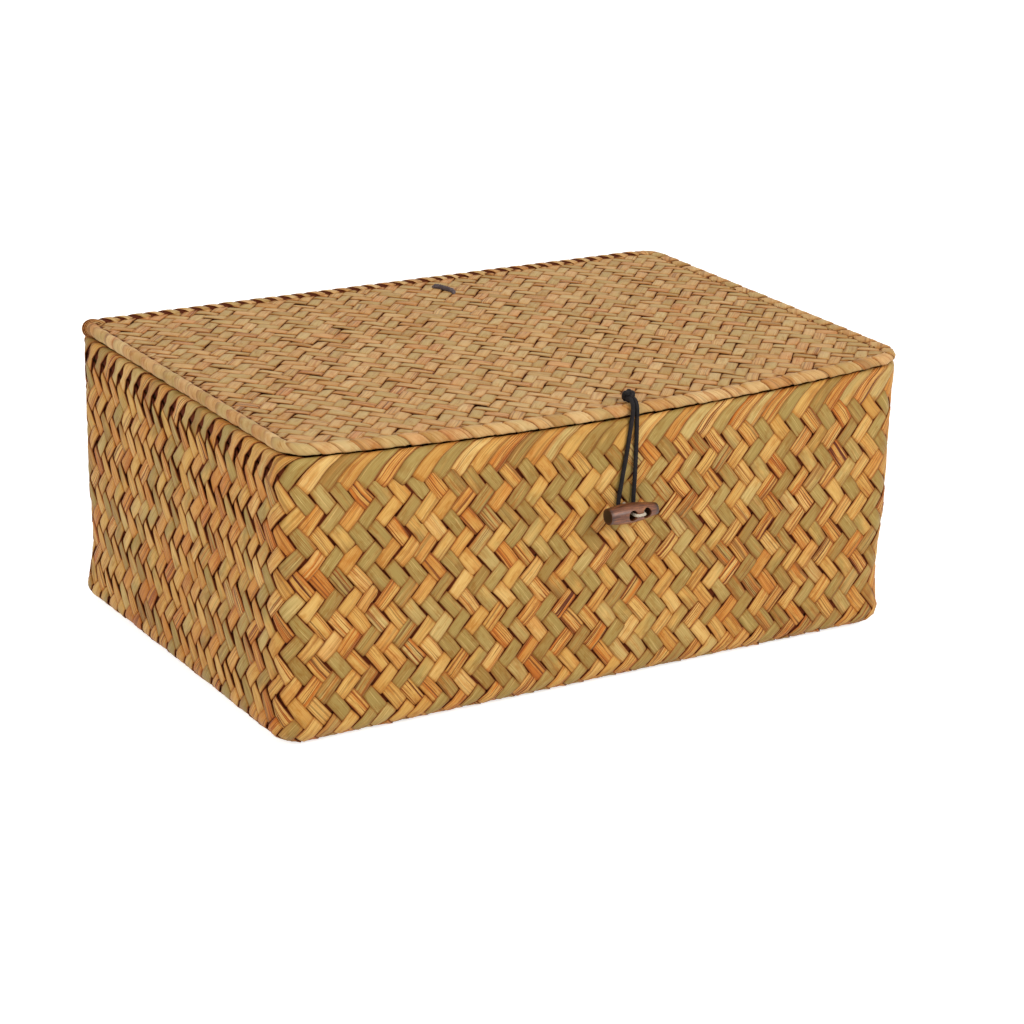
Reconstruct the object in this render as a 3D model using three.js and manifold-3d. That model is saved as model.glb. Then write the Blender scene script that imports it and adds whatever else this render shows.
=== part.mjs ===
// A woven lidded box: a double walled plaited basket, a flat plaited lid tied on at the back,
// and a cord loop on the lid that hooks behind a wooden toggle on the front wall.
// Millimetres, +Z up. The origin is the middle of the base's underside. The front faces -Y.

import * as THREE from "three";
import { mergeVertices } from "three/addons/utils/BufferGeometryUtils.js";
import Module from "manifold-3d";

// The box as a whole, with its lid closed, measured at its corners
const boxLength = 295;
const boxDepth = 190;
const boxHeight = 124;
const cornerRadius = 12;
const baseEdgeRadius = 8;

// How the front has settled: its top edge hangs lower in the middle, and bows outwards there
const frontSag = 4;
const frontBulge = 3;

// Layers and the gaps between them
const wallSkin = 1.2;
const liningSkin = 1.2;
const layerGap = 0.3;
const lidSeatGap = 0.6;

// The plait in relief: a ridge for each strip up the walls, which leans the other way in each row,
// and a ridge for each pair of strips across the lid, which turns in each column
const wallStrips = 116;
const rowHeight = 8.76;
const topRowHeight = 10.5;
const rowLean = 4.1;
const wallReliefDepth = 0.45;
const matRidgeSpacing = 14.32;
const matColumn = 7.16;
const matReliefDepth = 0.45;

// The strips folded over the top of the walls
const foldSkin = 1.0;
const foldCapHeight = 1.7;
const foldInnerDrop = 13;

// The lid's edge and its two mats
const bindingHeight = 4.4;
const bindingWidth = 5.5;
const bindingSkin = 0.7;
const bindingRound = 1.6;
const lidMat = 1.05;
const rimCoreDiameter = 2.3;

// The wooden toggle
const toggleLength = 23;
const toggleDiameter = 8.4;
const toggleEndDiameter = 6;
const toggleEndRound = 0.7;
const toggleHoleDiameter = 4;
const toggleHoleSpacing = 6.9;
const toggleOffCentre = 1.8;
const toggleHeight = 80.7;
const closureAcross = 4.5;

// The cream thread that sews the toggle on
const threadWidth = 1.4;
const shankDiameter = 3;
const shankHoleDiameter = 3.6;
const toggleKnotDiameter = 5.6;
const toggleKnotHeight = 2.6;

// The black cord loop and its two knots
const loopDiameter = 1.8;
const loopKnotAcross = 7.3;
const loopKnotInset = 8.8;
const loopKnotDiameter = 6;
const loopKnotHeight = 4.4;
const loopStemDiameter = 2.2;
const loopStemHoleDiameter = 2.8;
const loopStopDiameter = 5;
const loopStopHeight = 2.4;

// The dark cord that ties the lid to the back wall
const tieDiameter = 1.6;
const tieHoleDiameter = 2.2;
const tieAcross = 20;
const tieLidInset = 16;
const tieLidStitch = 12;
const tieWallDrop = 6.5;
const tieWallStitch = 11;
const tieBend = 1.7;
const tieSlackDepth = 6.5;
const tieLegEnd = 1.1;
const tieKnotDiameter = 4.2;
const tieKnotHeight = 2.6;

// One overrun for every cut, and one clearance between pieces that touch
const overrun = 3;
const clearance = 0.3;

// Steps of the faceted surfaces
const cornerSteps = 4;
const lengthSteps = 10;
const depthSteps = 6;
const edgeSteps = 3;
const cordSides = 8;
const loopSteps = 58;
const stapleSteps = 16;
const linkSteps = 18;
const holeSides = 16;
const turnedSides = 24;
const barrelSteps = 10;
const knotSides = 12;

// Heights and depths that follow from the sizes above
const halfLength = boxLength / 2;
const halfDepth = boxDepth / 2;
const lidUnderside = boxHeight - bindingHeight;
const basketTop = lidUnderside - lidSeatGap;
const wallTop = basketTop - foldCapHeight;
const liningInset = wallSkin + layerGap;
const foldInset = liningInset + liningSkin + layerGap;
const innerInset = foldInset + foldSkin;
const wallThickness = liningInset + liningSkin;
const matInset = bindingSkin + clearance + rimCoreDiameter + clearance;
const liningMatBottom = lidUnderside + bindingSkin + clearance;
const liningMatTop = liningMatBottom + lidMat;
const topMatBottom = liningMatTop + clearance;
const topMatTop = topMatBottom + lidMat;
const rimCoreInset = bindingSkin + clearance + rimCoreDiameter / 2;
const rimCoreHeight = (liningMatBottom + topMatTop) / 2;

// Colours of the finishes
const straw = new THREE.MeshStandardMaterial({ color: 0xc79a4b, roughness: 0.75 });
const strawLid = new THREE.MeshStandardMaterial({ color: 0xc2a06a, roughness: 0.8 });
const cane = new THREE.MeshStandardMaterial({ color: 0xb08a52, roughness: 0.6 });
const blackCord = new THREE.MeshStandardMaterial({ color: 0x1c1a1a, roughness: 0.9 });
const creamThread = new THREE.MeshStandardMaterial({ color: 0xd8cdb8, roughness: 0.9 });
const toggleWood = new THREE.MeshStandardMaterial({ color: 0x6d3a26, roughness: 0.45 });

const wasm = await Module();
wasm.setup();

// How far a place has settled: 1 at the middle of the front's top edge, 0 at the corners and the back
function settledShare(across, deep) {
  const lengthwise = Math.max(0, 1 - (across / halfLength) ** 2);
  const towardsFront = Math.max(0, (halfDepth - deep) / boxDepth);
  return lengthwise * towardsFront ** 2;
}

// A place in the true box as it stands in the settled one
function settle(across, deep, height) {
  const share = settledShare(across, deep) * Math.min(1, height / lidUnderside);
  return new THREE.Vector3(across, deep - frontBulge * share, height - frontSag * share);
}

// A ring of places round the rounded rectangle, inset from the outline and drawn in by a share
function ring(inset, height, share = 1) {
  const radius = Math.max(cornerRadius - inset, clearance);
  const middleX = halfLength - inset - radius;
  const middleY = halfDepth - inset - radius;
  const corners = [
    [1, 1, depthSteps],
    [-1, 1, lengthSteps],
    [-1, -1, depthSteps],
    [1, -1, lengthSteps],
  ];
  const places = [];
  corners.forEach(([sideX, sideY, stepsBefore], turn) => {
    const start = (turn * Math.PI) / 2;
    const arc = [];
    for (let i = 0; i <= cornerSteps; i++) {
      const angle = start + (i / cornerSteps) * (Math.PI / 2);
      arc.push([sideX * middleX + radius * Math.cos(angle), sideY * middleY + radius * Math.sin(angle)]);
    }
    if (turn === 0) arc.forEach((place) => places.push(place));
    else {
      joinStraight(places, arc[0], stepsBefore);
      arc.forEach((place) => places.push(place));
    }
  });
  joinStraight(places, places[0], depthSteps);
  return places.map(([x, y]) => settle(x * share, y * share, height));
}

// The places between the last one and the next, on a straight side
function joinStraight(places, next, steps) {
  const last = places[places.length - 1];
  for (let i = 1; i < steps; i++) {
    places.push([last[0] + ((next[0] - last[0]) * i) / steps, last[1] + ((next[1] - last[1]) * i) / steps]);
  }
}

// One closed surface from rings in order. It closes on itself as a hoop, or with a middle place at each end
function surfaceOf(rings, middles) {
  const count = rings[0].length;
  const places = rings.flat();
  const faces = [];
  const last = middles ? rings.length - 1 : rings.length;
  for (let k = 0; k < last; k++) {
    for (let i = 0; i < count; i++) {
      const a = k * count + i;
      const b = k * count + ((i + 1) % count);
      const c = ((k + 1) % rings.length) * count + ((i + 1) % count);
      const d = ((k + 1) % rings.length) * count + i;
      faces.push(a, b, c, a, c, d);
    }
  }
  if (middles) {
    const first = places.push(middles[0]) - 1;
    const end = places.push(middles[1]) - 1;
    const lastRing = (rings.length - 1) * count;
    for (let i = 0; i < count; i++) {
      const next = (i + 1) % count;
      faces.push(first, next, i, end, lastRing + i, lastRing + next);
    }
  }
  const geometry = new THREE.BufferGeometry().setFromPoints(places);
  geometry.setIndex(faces);
  geometry.computeVertexNormals();
  return geometry;
}

// A hoop whose section is a list of insets and heights, out along its bottom and back along its top
function hoop(section) {
  return surfaceOf(section.map(([inset, height]) => ring(inset, height)));
}

// An open vessel from its outer inset, its inner inset, its floor and its top
function vessel(outerInset, innerWall, bottom, floor, top) {
  const outerEdge = baseEdgeRadius - outerInset;
  const innerEdge = baseEdgeRadius - innerWall;
  const rings = [];
  for (let i = 0; i <= edgeSteps; i++) {
    const angle = (i / edgeSteps) * (Math.PI / 2);
    const inset = outerInset + outerEdge * (1 - Math.sin(angle));
    rings.push(ring(inset, bottom + outerEdge * (1 - Math.cos(angle))));
  }
  const wallShares = [0.35, 0.65, 1];
  const wallHeights = wallShares.map((share) => bottom + (top - bottom) * share);
  wallHeights.forEach((height) => rings.push(ring(outerInset, height)));
  wallHeights.reverse().forEach((height) => rings.push(ring(innerWall, height)));
  for (let i = edgeSteps; i >= 0; i--) {
    const angle = (i / edgeSteps) * (Math.PI / 2);
    const inset = innerWall + innerEdge * (1 - Math.sin(angle));
    rings.push(ring(inset, floor + innerEdge * (1 - Math.cos(angle))));
  }
  return surfaceOf(rings, [settle(0, 0, bottom), settle(0, 0, floor)]);
}

// A place on the inset outline, by the way round it from the left end of the front
function outlinePlace(wayRound, inset, height) {
  const coreX = halfLength - cornerRadius;
  const coreY = halfDepth - cornerRadius;
  const arc = (Math.PI / 2) * cornerRadius;
  const sides = [
    [-coreX, -coreY, 2 * coreX],
    [coreX, -coreY, 2 * coreY],
    [coreX, coreY, 2 * coreX],
    [-coreX, coreY, 2 * coreY],
  ];
  let left = wayRound;
  let side = 0;
  while (left > sides[side][2] + arc) {
    left -= sides[side][2] + arc;
    side = (side + 1) % sides.length;
  }
  const [startX, startY, straight] = sides[side];
  const facing = ((side - 1) * Math.PI) / 2;
  const along = Math.min(left, straight);
  const turned = facing + Math.max(0, left - straight) / cornerRadius;
  const reach = cornerRadius - inset;
  const x = startX - along * Math.sin(facing) + reach * Math.cos(turned);
  const y = startY + along * Math.cos(facing) + reach * Math.sin(turned);
  return settle(x, y, height);
}

// A ring of ridges and valleys, one of each for every strip, moved on along the way round
function plaitRing(inset, height, start, depth) {
  const wayRound = 4 * (halfLength + halfDepth - 2 * cornerRadius) + 2 * Math.PI * cornerRadius;
  const spacing = wayRound / wallStrips;
  const places = [];
  for (let k = 0; k < 2 * wallStrips; k++) {
    places.push(outlinePlace(start + (k / 2) * spacing, inset + (k % 2) * depth, height));
  }
  return places;
}

// The outer wall as a full block. Each row of strips leans the other way, and the top row leans right
function plaitedBlock() {
  const firstRow = wallTop - topRowHeight;
  const rows = Math.floor((firstRow - baseEdgeRadius) / rowHeight);
  const rings = [];
  for (let i = 0; i <= edgeSteps; i++) {
    const angle = (i / edgeSteps) * (Math.PI / 2);
    const inset = baseEdgeRadius * (1 - Math.sin(angle));
    rings.push(plaitRing(inset, baseEdgeRadius * (1 - Math.cos(angle)), (rows % 2) * rowLean, 0));
  }
  for (let row = rows; row >= 0; row--) {
    rings.push(plaitRing(0, firstRow - row * rowHeight, (row % 2) * rowLean, wallReliefDepth));
  }
  rings.push(plaitRing(0, wallTop, rowLean, wallReliefDepth));
  return surfaceOf(rings, [settle(0, 0, 0), settle(0, 0, wallTop)]);
}

// The room inside a vessel, open through its top
function hollow(inset, floor, top) {
  const edge = baseEdgeRadius - inset;
  const rings = [];
  for (let i = 0; i <= edgeSteps; i++) {
    const angle = (i / edgeSteps) * (Math.PI / 2);
    rings.push(ring(inset + edge * (1 - Math.sin(angle)), floor + edge * (1 - Math.cos(angle))));
  }
  rings.push(ring(inset, top + overrun));
  return surfaceOf(rings, [settle(0, 0, floor), settle(0, 0, top + overrun)]);
}

// A sheet larger than the lid, its upper side in relief: each column of strips leans the other way
function plaitedSheet(bottom, top) {
  const columns = 2 * Math.ceil(halfLength / matColumn);
  const ridges = Math.ceil(halfDepth / matRidgeSpacing) + 1;
  const sections = [];
  for (let column = 0; column <= columns; column++) {
    const across = (column - columns / 2) * matColumn;
    const start = (column % 2) * matColumn;
    const section = [];
    for (let k = 2 * ridges; k >= -2 * ridges; k--) {
      const deep = start + (k / 2) * matRidgeSpacing;
      section.push(settle(across, deep, top - Math.abs(k % 2) * matReliefDepth));
    }
    section.push(settle(across, start - ridges * matRidgeSpacing, bottom));
    section.push(settle(across, start + ridges * matRidgeSpacing, bottom));
    sections.push(section);
  }
  const end = (columns / 2) * matColumn;
  const middle = (bottom + top) / 2;
  return surfaceOf(sections, [settle(-end, 0, middle), settle(end, 0, middle)]);
}

// A thin plate with the outline of the box, inset, that follows the settled front
function mat(inset, bottom, top) {
  const inwardShares = [1, 0.86, 0.66, 0.4];
  const under = [...inwardShares].reverse().map((share) => ring(inset, bottom, share));
  const over = inwardShares.map((share) => ring(inset, top, share));
  return surfaceOf([...under, ...over], [settle(0, 0, bottom), settle(0, 0, top)]);
}

// A solid for cutting and joining, and back again
function solidOf(geometry) {
  const bare = geometry.clone();
  bare.deleteAttribute("normal");
  bare.deleteAttribute("uv");
  const merged = mergeVertices(bare);
  return new wasm.Manifold(
    new wasm.Mesh({
      numProp: 3,
      vertProperties: new Float32Array(merged.attributes.position.array),
      triVerts: new Uint32Array(merged.index.array),
    }),
  );
}

function geometryOf(solid) {
  const cut = solid.getMesh();
  const geometry = new THREE.BufferGeometry();
  geometry.setAttribute("position", new THREE.BufferAttribute(new Float32Array(cut.vertProperties), 3));
  geometry.setIndex(new THREE.BufferAttribute(new Uint32Array(cut.triVerts), 1));
  geometry.computeVertexNormals();
  return geometry;
}

function cutWith(geometry, tools) {
  return geometryOf(tools.reduce((solid, tool) => solid.subtract(solidOf(tool)), solidOf(geometry)));
}

// A round bar from one place to another
function barBetween(from, to, diameter, sides) {
  const along = to.clone().sub(from);
  const bar = new THREE.CylinderGeometry(diameter / 2, diameter / 2, along.length(), sides);
  const turn = new THREE.Quaternion().setFromUnitVectors(new THREE.Vector3(0, 1, 0), along.normalize());
  bar.applyQuaternion(turn);
  bar.translate((from.x + to.x) / 2, (from.y + to.y) / 2, (from.z + to.z) / 2);
  return bar;
}

// A cord laid along a smooth curve through its places
function cordAlong(places, diameter, steps) {
  const section = new THREE.Shape();
  for (let i = 0; i < cordSides; i++) {
    const angle = (i / cordSides) * Math.PI * 2;
    const x = (diameter / 2) * Math.cos(angle);
    const y = (diameter / 2) * Math.sin(angle);
    if (i === 0) section.moveTo(x, y);
    else section.lineTo(x, y);
  }
  section.closePath();
  const path = new THREE.CatmullRomCurve3(places, false, "centripetal");
  return new THREE.ExtrudeGeometry(section, { steps, extrudePath: path, bevelEnabled: false });
}

// A knot turned about its own axis, flat where it bears on the weave, with an optional stem behind that face
function knotShape(diameter, height, stemDiameter, stemLength) {
  const radius = diameter / 2;
  const outlineShares = [
    [0.8, 0],
    [1, 0.25],
    [0.97, 0.6],
    [0.62, 0.93],
  ];
  const profile = outlineShares.map(([out, up]) => new THREE.Vector2(radius * out, height * up));
  profile.push(new THREE.Vector2(0, height));
  if (stemLength > 0) {
    const stem = stemDiameter / 2;
    profile.unshift(new THREE.Vector2(0, -stemLength), new THREE.Vector2(stem, -stemLength));
    profile.splice(2, 0, new THREE.Vector2(stem, 0));
  } else profile.unshift(new THREE.Vector2(0, 0));
  return new THREE.LatheGeometry(profile, knotSides);
}

// The lathe's own axis is Y: these stand it on Z or lay it along Y
function standing(geometry) {
  return geometry.rotateX(Math.PI / 2);
}

function hanging(geometry) {
  return geometry.rotateX(-Math.PI / 2);
}

// Places on the front wall behind the toggle, one behind the other
const frontWall = settle(closureAcross, -halfDepth, toggleHeight);
const loopLane = frontWall.y - clearance - loopDiameter / 2;
const yokeBack = loopLane - loopDiameter / 2 - clearance;
const yokeFront = yokeBack - threadWidth;
const toggleBack = yokeFront - clearance;
const toggleAxisY = toggleBack - toggleDiameter / 2;
const toggleFront = toggleAxisY - toggleDiameter / 2;
const frontInside = frontWall.y + wallThickness;
const closureZ = frontWall.z;

// Where the loop's knot stands on the lid
const knotDeep = -halfDepth + loopKnotInset;
const knotSeat = settle(loopKnotAcross, knotDeep, topMatTop);
const knotUnder = settle(loopKnotAcross, knotDeep, liningMatBottom);

// Where the tie passes through the lid and the back wall
const tieBackLeg = halfDepth - tieLidInset;
const tieFrontLeg = tieBackLeg - tieLidStitch;
const tieUpperHole = basketTop - tieWallDrop;
const tieLowerHole = tieUpperHole - tieWallStitch;
const tieInside = halfDepth - innerInset;
const tieLowerInside = halfDepth - wallThickness;

function shankHole() {
  const outside = new THREE.Vector3(closureAcross, frontWall.y - overrun, closureZ);
  const inside = new THREE.Vector3(closureAcross, frontInside + overrun, closureZ);
  return barBetween(outside, inside, shankHoleDiameter, holeSides);
}

function tieHole(height) {
  const outside = new THREE.Vector3(tieAcross, halfDepth + overrun, height);
  const inside = new THREE.Vector3(tieAcross, tieInside - overrun, height);
  return barBetween(outside, inside, tieHoleDiameter, holeSides);
}

function lidHole(across, deep, diameter) {
  const bottom = settle(across, deep, lidUnderside - overrun);
  const top = settle(across, deep, boxHeight + overrun);
  return barBetween(new THREE.Vector3(across, top.y, bottom.z), top, diameter, holeSides);
}

function outerBasket() {
  const room = hollow(wallSkin, wallSkin, wallTop);
  return cutWith(plaitedBlock(), [room, shankHole(), tieHole(tieUpperHole), tieHole(tieLowerHole)]);
}

function innerBasket() {
  const bottom = wallSkin + layerGap;
  const shell = vessel(liningInset, liningInset + liningSkin, bottom, bottom + liningSkin, wallTop);
  return cutWith(shell, [shankHole(), tieHole(tieUpperHole), tieHole(tieLowerHole)]);
}

function rimFold() {
  const underCap = wallTop + clearance;
  const corner = foldCapHeight - foldSkin;
  const section = [
    [foldInset, underCap],
    [0, underCap],
    [0, basketTop - corner],
    [corner, basketTop],
    [innerInset - corner, basketTop],
    [innerInset, basketTop - corner],
    [innerInset, basketTop - foldInnerDrop],
    [foldInset, basketTop - foldInnerDrop],
  ];
  return cutWith(hoop(section), [tieHole(tieUpperHole)]);
}

function lidRimBinding() {
  const inner = bindingWidth;
  const low = lidUnderside;
  const slotLow = lidUnderside + bindingSkin;
  const slotHigh = boxHeight - bindingSkin;
  const section = [
    [inner, low],
    [bindingRound, low],
    [0, low + bindingRound],
    [0, boxHeight - bindingRound],
    [bindingRound, boxHeight],
    [inner - bindingSkin, boxHeight],
    [inner, slotHigh],
    [bindingRound, slotHigh],
    [bindingSkin, boxHeight - bindingRound],
    [bindingSkin, low + bindingRound],
    [bindingRound, slotLow],
    [inner, slotLow],
  ];
  return hoop(section);
}

function lidRimCore() {
  const section = [];
  for (let i = 0; i < cordSides; i++) {
    const angle = ((i + 0.5) / cordSides) * Math.PI * 2;
    const out = (rimCoreDiameter / 2) * Math.cos(angle);
    section.push([rimCoreInset - out, rimCoreHeight + (rimCoreDiameter / 2) * Math.sin(angle)]);
  }
  return hoop(section);
}

function lidHoles() {
  return [
    lidHole(loopKnotAcross, knotDeep, loopStemHoleDiameter),
    lidHole(tieAcross, tieBackLeg, tieHoleDiameter),
    lidHole(tieAcross, tieFrontLeg, tieHoleDiameter),
  ];
}

function lidTopMat() {
  const outline = mat(matInset, topMatBottom, topMatTop + overrun);
  const sheet = plaitedSheet(topMatBottom - overrun, topMatTop);
  const plaited = geometryOf(solidOf(outline).intersect(solidOf(sheet)));
  return cutWith(plaited, lidHoles());
}

function lidLiningMat() {
  return cutWith(mat(matInset, liningMatBottom, liningMatTop), lidHoles());
}

// A staple of cord over the top mat, with both legs through the lid
function hingeLidStitch() {
  const back = settle(tieAcross, tieBackLeg, topMatTop);
  const front = settle(tieAcross, tieFrontLeg, topMatTop);
  const rise = clearance + tieDiameter / 2;
  const legEnd = liningMatBottom - topMatTop - tieLegEnd;
  const bend = tieBend;
  return cordAlong(
    [
      new THREE.Vector3(tieAcross, front.y, front.z + legEnd),
      new THREE.Vector3(tieAcross, front.y, front.z - lidMat),
      new THREE.Vector3(tieAcross, front.y + bend / 4, front.z + rise - bend / 4),
      new THREE.Vector3(tieAcross, front.y + bend, front.z + rise),
      new THREE.Vector3(tieAcross, back.y - bend, back.z + rise),
      new THREE.Vector3(tieAcross, back.y - bend / 4, back.z + rise - bend / 4),
      new THREE.Vector3(tieAcross, back.y, back.z - lidMat),
      new THREE.Vector3(tieAcross, back.y, back.z + legEnd),
    ],
    tieDiameter,
    stapleSteps,
  );
}

// A staple of cord down the outside of the back wall, with both legs through the wall
function hingeWallStitch() {
  const out = halfDepth + clearance + tieDiameter / 2;
  const bend = tieBend;
  return cordAlong(
    [
      new THREE.Vector3(tieAcross, tieInside, tieUpperHole),
      new THREE.Vector3(tieAcross, halfDepth - wallSkin, tieUpperHole),
      new THREE.Vector3(tieAcross, out - bend / 4, tieUpperHole - bend / 4),
      new THREE.Vector3(tieAcross, out, tieUpperHole - bend),
      new THREE.Vector3(tieAcross, out, tieLowerHole + bend),
      new THREE.Vector3(tieAcross, out - bend / 4, tieLowerHole + bend / 4),
      new THREE.Vector3(tieAcross, halfDepth - wallSkin, tieLowerHole),
      new THREE.Vector3(tieAcross, tieLowerInside, tieLowerHole),
    ],
    tieDiameter,
    stapleSteps,
  );
}

// The slack run of the tie inside the box, from the wall stitch up to the lid stitch
function hingeLink() {
  const lidEnd = settle(tieAcross, tieBackLeg, liningMatBottom - tieLegEnd - clearance);
  const wallEnd = new THREE.Vector3(tieAcross, tieInside - clearance, tieUpperHole);
  const low = tieUpperHole - tieSlackDepth;
  const run = wallEnd.y - lidEnd.y;
  const belowLid = lidEnd.clone().setZ(lidEnd.z - tieDiameter);
  const beforeWall = wallEnd.clone().setY(wallEnd.y - tieDiameter);
  const wayShares = [
    [0.04, 0.55],
    [0.13, 0.2],
    [0.3, 0.02],
    [0.5, 0.03],
    [0.64, 0.22],
    [0.72, 0.6],
  ];
  const places = wayShares.map(
    ([along, up]) => new THREE.Vector3(tieAcross, lidEnd.y + run * along, low + tieSlackDepth * up),
  );
  return cordAlong([lidEnd, belowLid, ...places, beforeWall, wallEnd], tieDiameter, linkSteps);
}

function tieKnot() {
  return knotShape(tieKnotDiameter, tieKnotHeight, 0, 0);
}

// The loop's own way: from its knot over the front rim, down behind the toggle, round the shank and back up
const loopPlaces = [
  [6.15, -92.3, 121.4],
  [6.15, -94.4, 121.4],
  [6.1, -96.6, 121.25],
  [6.0, -98.75, 120.1],
  [5.95, -99.3, 118.4],
  [5.8, -99.3, 115.5],
  [5.3, -99.2, 110],
  [4.4, -99.0, 102],
  [3.2, -98.7, 94],
  [2.1, -98.4, 87],
  [1.3, -98.2, 82.2],
  [0.95, -98.2, 79],
  [1.5, -98.2, 76.2],
  [3.0, -98.2, 74.6],
  [4.6, -98.2, 74.1],
  [6.3, -98.2, 74.6],
  [7.7, -98.2, 76.2],
  [8.2, -98.2, 79],
  [8.1, -98.2, 82.2],
  [8.25, -98.4, 87],
  [8.5, -98.7, 94],
  [8.7, -99.0, 102],
  [8.8, -99.2, 110],
  [8.75, -99.3, 115.5],
  [8.7, -99.3, 118.4],
  [8.65, -98.75, 120.1],
  [8.6, -96.6, 121.25],
  [8.55, -94.4, 121.4],
  [8.55, -92.3, 121.4],
];

function loopCord() {
  const places = loopPlaces.map(([x, y, z]) => new THREE.Vector3(x, y, z));
  return cordAlong(places, loopDiameter, loopSteps);
}

function toggleBarrel() {
  const half = toggleLength / 2;
  const full = toggleDiameter / 2;
  const end = toggleEndDiameter / 2;
  const profile = [new THREE.Vector2(0, -half), new THREE.Vector2(end - toggleEndRound, -half)];
  for (let i = 0; i <= barrelSteps; i++) {
    const along = (2 * i) / barrelSteps - 1;
    const radius = end + (full - end) * (1 - along ** 2);
    profile.push(new THREE.Vector2(radius, along * (half - toggleEndRound)));
  }
  profile.push(new THREE.Vector2(end - toggleEndRound, half), new THREE.Vector2(0, half));
  const barrel = new THREE.LatheGeometry(profile, turnedSides);
  barrel.rotateZ(-Math.PI / 2);
  barrel.translate(closureAcross - toggleOffCentre, toggleAxisY, closureZ);
  const holes = [-1, 1].map((side) => {
    const across = closureAcross + (side * toggleHoleSpacing) / 2;
    const front = new THREE.Vector3(across, toggleFront - overrun, closureZ);
    const back = new THREE.Vector3(across, toggleBack + overrun, closureZ);
    return barBetween(front, back, toggleHoleDiameter, holeSides);
  });
  return cutWith(barrel, holes);
}

// A link of thread through both holes: its front bar shows, and its back bar is held by the shank
function toggleThread() {
  const outer = toggleHoleSpacing / 2 + threadWidth / 2;
  const inner = outer - threadWidth;
  const front = toggleFront - clearance - threadWidth;
  const outline = new THREE.Shape();
  outline.moveTo(-outer, front);
  outline.lineTo(outer, front);
  outline.lineTo(outer, yokeBack);
  outline.lineTo(-outer, yokeBack);
  outline.closePath();
  const opening = new THREE.Path();
  opening.moveTo(-inner, front + threadWidth);
  opening.lineTo(-inner, yokeFront);
  opening.lineTo(inner, yokeFront);
  opening.lineTo(inner, front + threadWidth);
  opening.closePath();
  outline.holes.push(opening);
  const link = new THREE.ExtrudeGeometry(outline, { depth: threadWidth, bevelEnabled: false });
  link.translate(closureAcross, 0, closureZ - threadWidth / 2);
  return link;
}

function toggleShank() {
  const front = new THREE.Vector3(closureAcross, yokeBack + clearance, closureZ);
  const inside = new THREE.Vector3(closureAcross, frontInside, closureZ);
  return barBetween(front, inside, shankDiameter, holeSides);
}

const box = new THREE.Group();

// One named mesh at its place
function piece(name, geometry, material, place) {
  const mesh = new THREE.Mesh(geometry, material);
  mesh.name = name;
  if (place) mesh.position.copy(place);
  return mesh;
}

const basket = new THREE.Group();
basket.add(piece("outer_basket", outerBasket(), straw));
basket.add(piece("inner_basket", innerBasket(), straw));
basket.add(piece("rim_fold", rimFold(), straw));
basket.add(piece("toggle_shank", toggleShank(), creamThread));
const toggleKnotSeat = new THREE.Vector3(closureAcross, frontInside + clearance, closureZ);
const toggleKnot = knotShape(toggleKnotDiameter, toggleKnotHeight, 0, 0);
basket.add(piece("toggle_knot", toggleKnot, creamThread, toggleKnotSeat));
basket.add(piece("hinge_wall_stitch", hingeWallStitch(), blackCord));
const wallKnotSeat = new THREE.Vector3(tieAcross, tieLowerInside - clearance, tieLowerHole);
const wallKnot = tieKnot().rotateX(Math.PI);
basket.add(piece("hinge_wall_knot", wallKnot, blackCord, wallKnotSeat));
basket.add(piece("hinge_link", hingeLink(), blackCord));
box.add(basket);

const lid = new THREE.Group();
lid.add(piece("lid_top_mat", lidTopMat(), strawLid));
lid.add(piece("lid_lining_mat", lidLiningMat(), strawLid));
lid.add(piece("lid_rim_core", lidRimCore(), cane));
lid.add(piece("lid_rim_binding", lidRimBinding(), strawLid));
lid.add(piece("hinge_lid_stitch", hingeLidStitch(), blackCord));
const lidKnotSeat = settle(tieAcross, tieFrontLeg, liningMatBottom - tieLegEnd - clearance);
lid.add(piece("hinge_lid_knot", hanging(tieKnot()), blackCord, lidKnotSeat));
const stemLength = knotSeat.z - knotUnder.z + clearance;
const topKnot = standing(knotShape(loopKnotDiameter, loopKnotHeight, loopStemDiameter, stemLength));
const topKnotSeat = knotSeat.clone().setZ(knotSeat.z + clearance);
lid.add(piece("loop_knot", topKnot, blackCord, topKnotSeat));
const stopKnotSeat = knotUnder.clone().setZ(knotUnder.z - clearance);
const stopKnot = hanging(knotShape(loopStopDiameter, loopStopHeight, 0, 0));
lid.add(piece("loop_stop_knot", stopKnot, blackCord, stopKnotSeat));
box.add(lid);

const closure = new THREE.Group();
closure.add(piece("loop_cord", loopCord(), blackCord));
closure.add(piece("toggle", toggleBarrel(), toggleWood));
closure.add(piece("toggle_thread", toggleThread(), creamThread));
box.add(closure);

export default box;
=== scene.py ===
# %% [markdown]
# A plaited seagrass box with a tied lid.
#
# The real box is two open baskets, one inside the other, plaited on the slant from folded
# seagrass strips. The strip ends turn over the rim as a row of small folds. The lid is two
# plaited mats with a cane in its edge, and strips are wound round that edge. A dark cord ties
# the lid to the back wall, and a black loop on the lid slips over a wooden toggle.
#
# This file dresses the fixed model of that box. The plaiting is real geometry, strip by strip,
# because a pattern painted on a flat wall has no dark gaps and no rounded edges when it is
# seen from the side. The cords, the knots and the toggle are modelled one by one.

import math

import bpy
import numpy as np
from mathutils import Matrix, Vector


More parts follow.
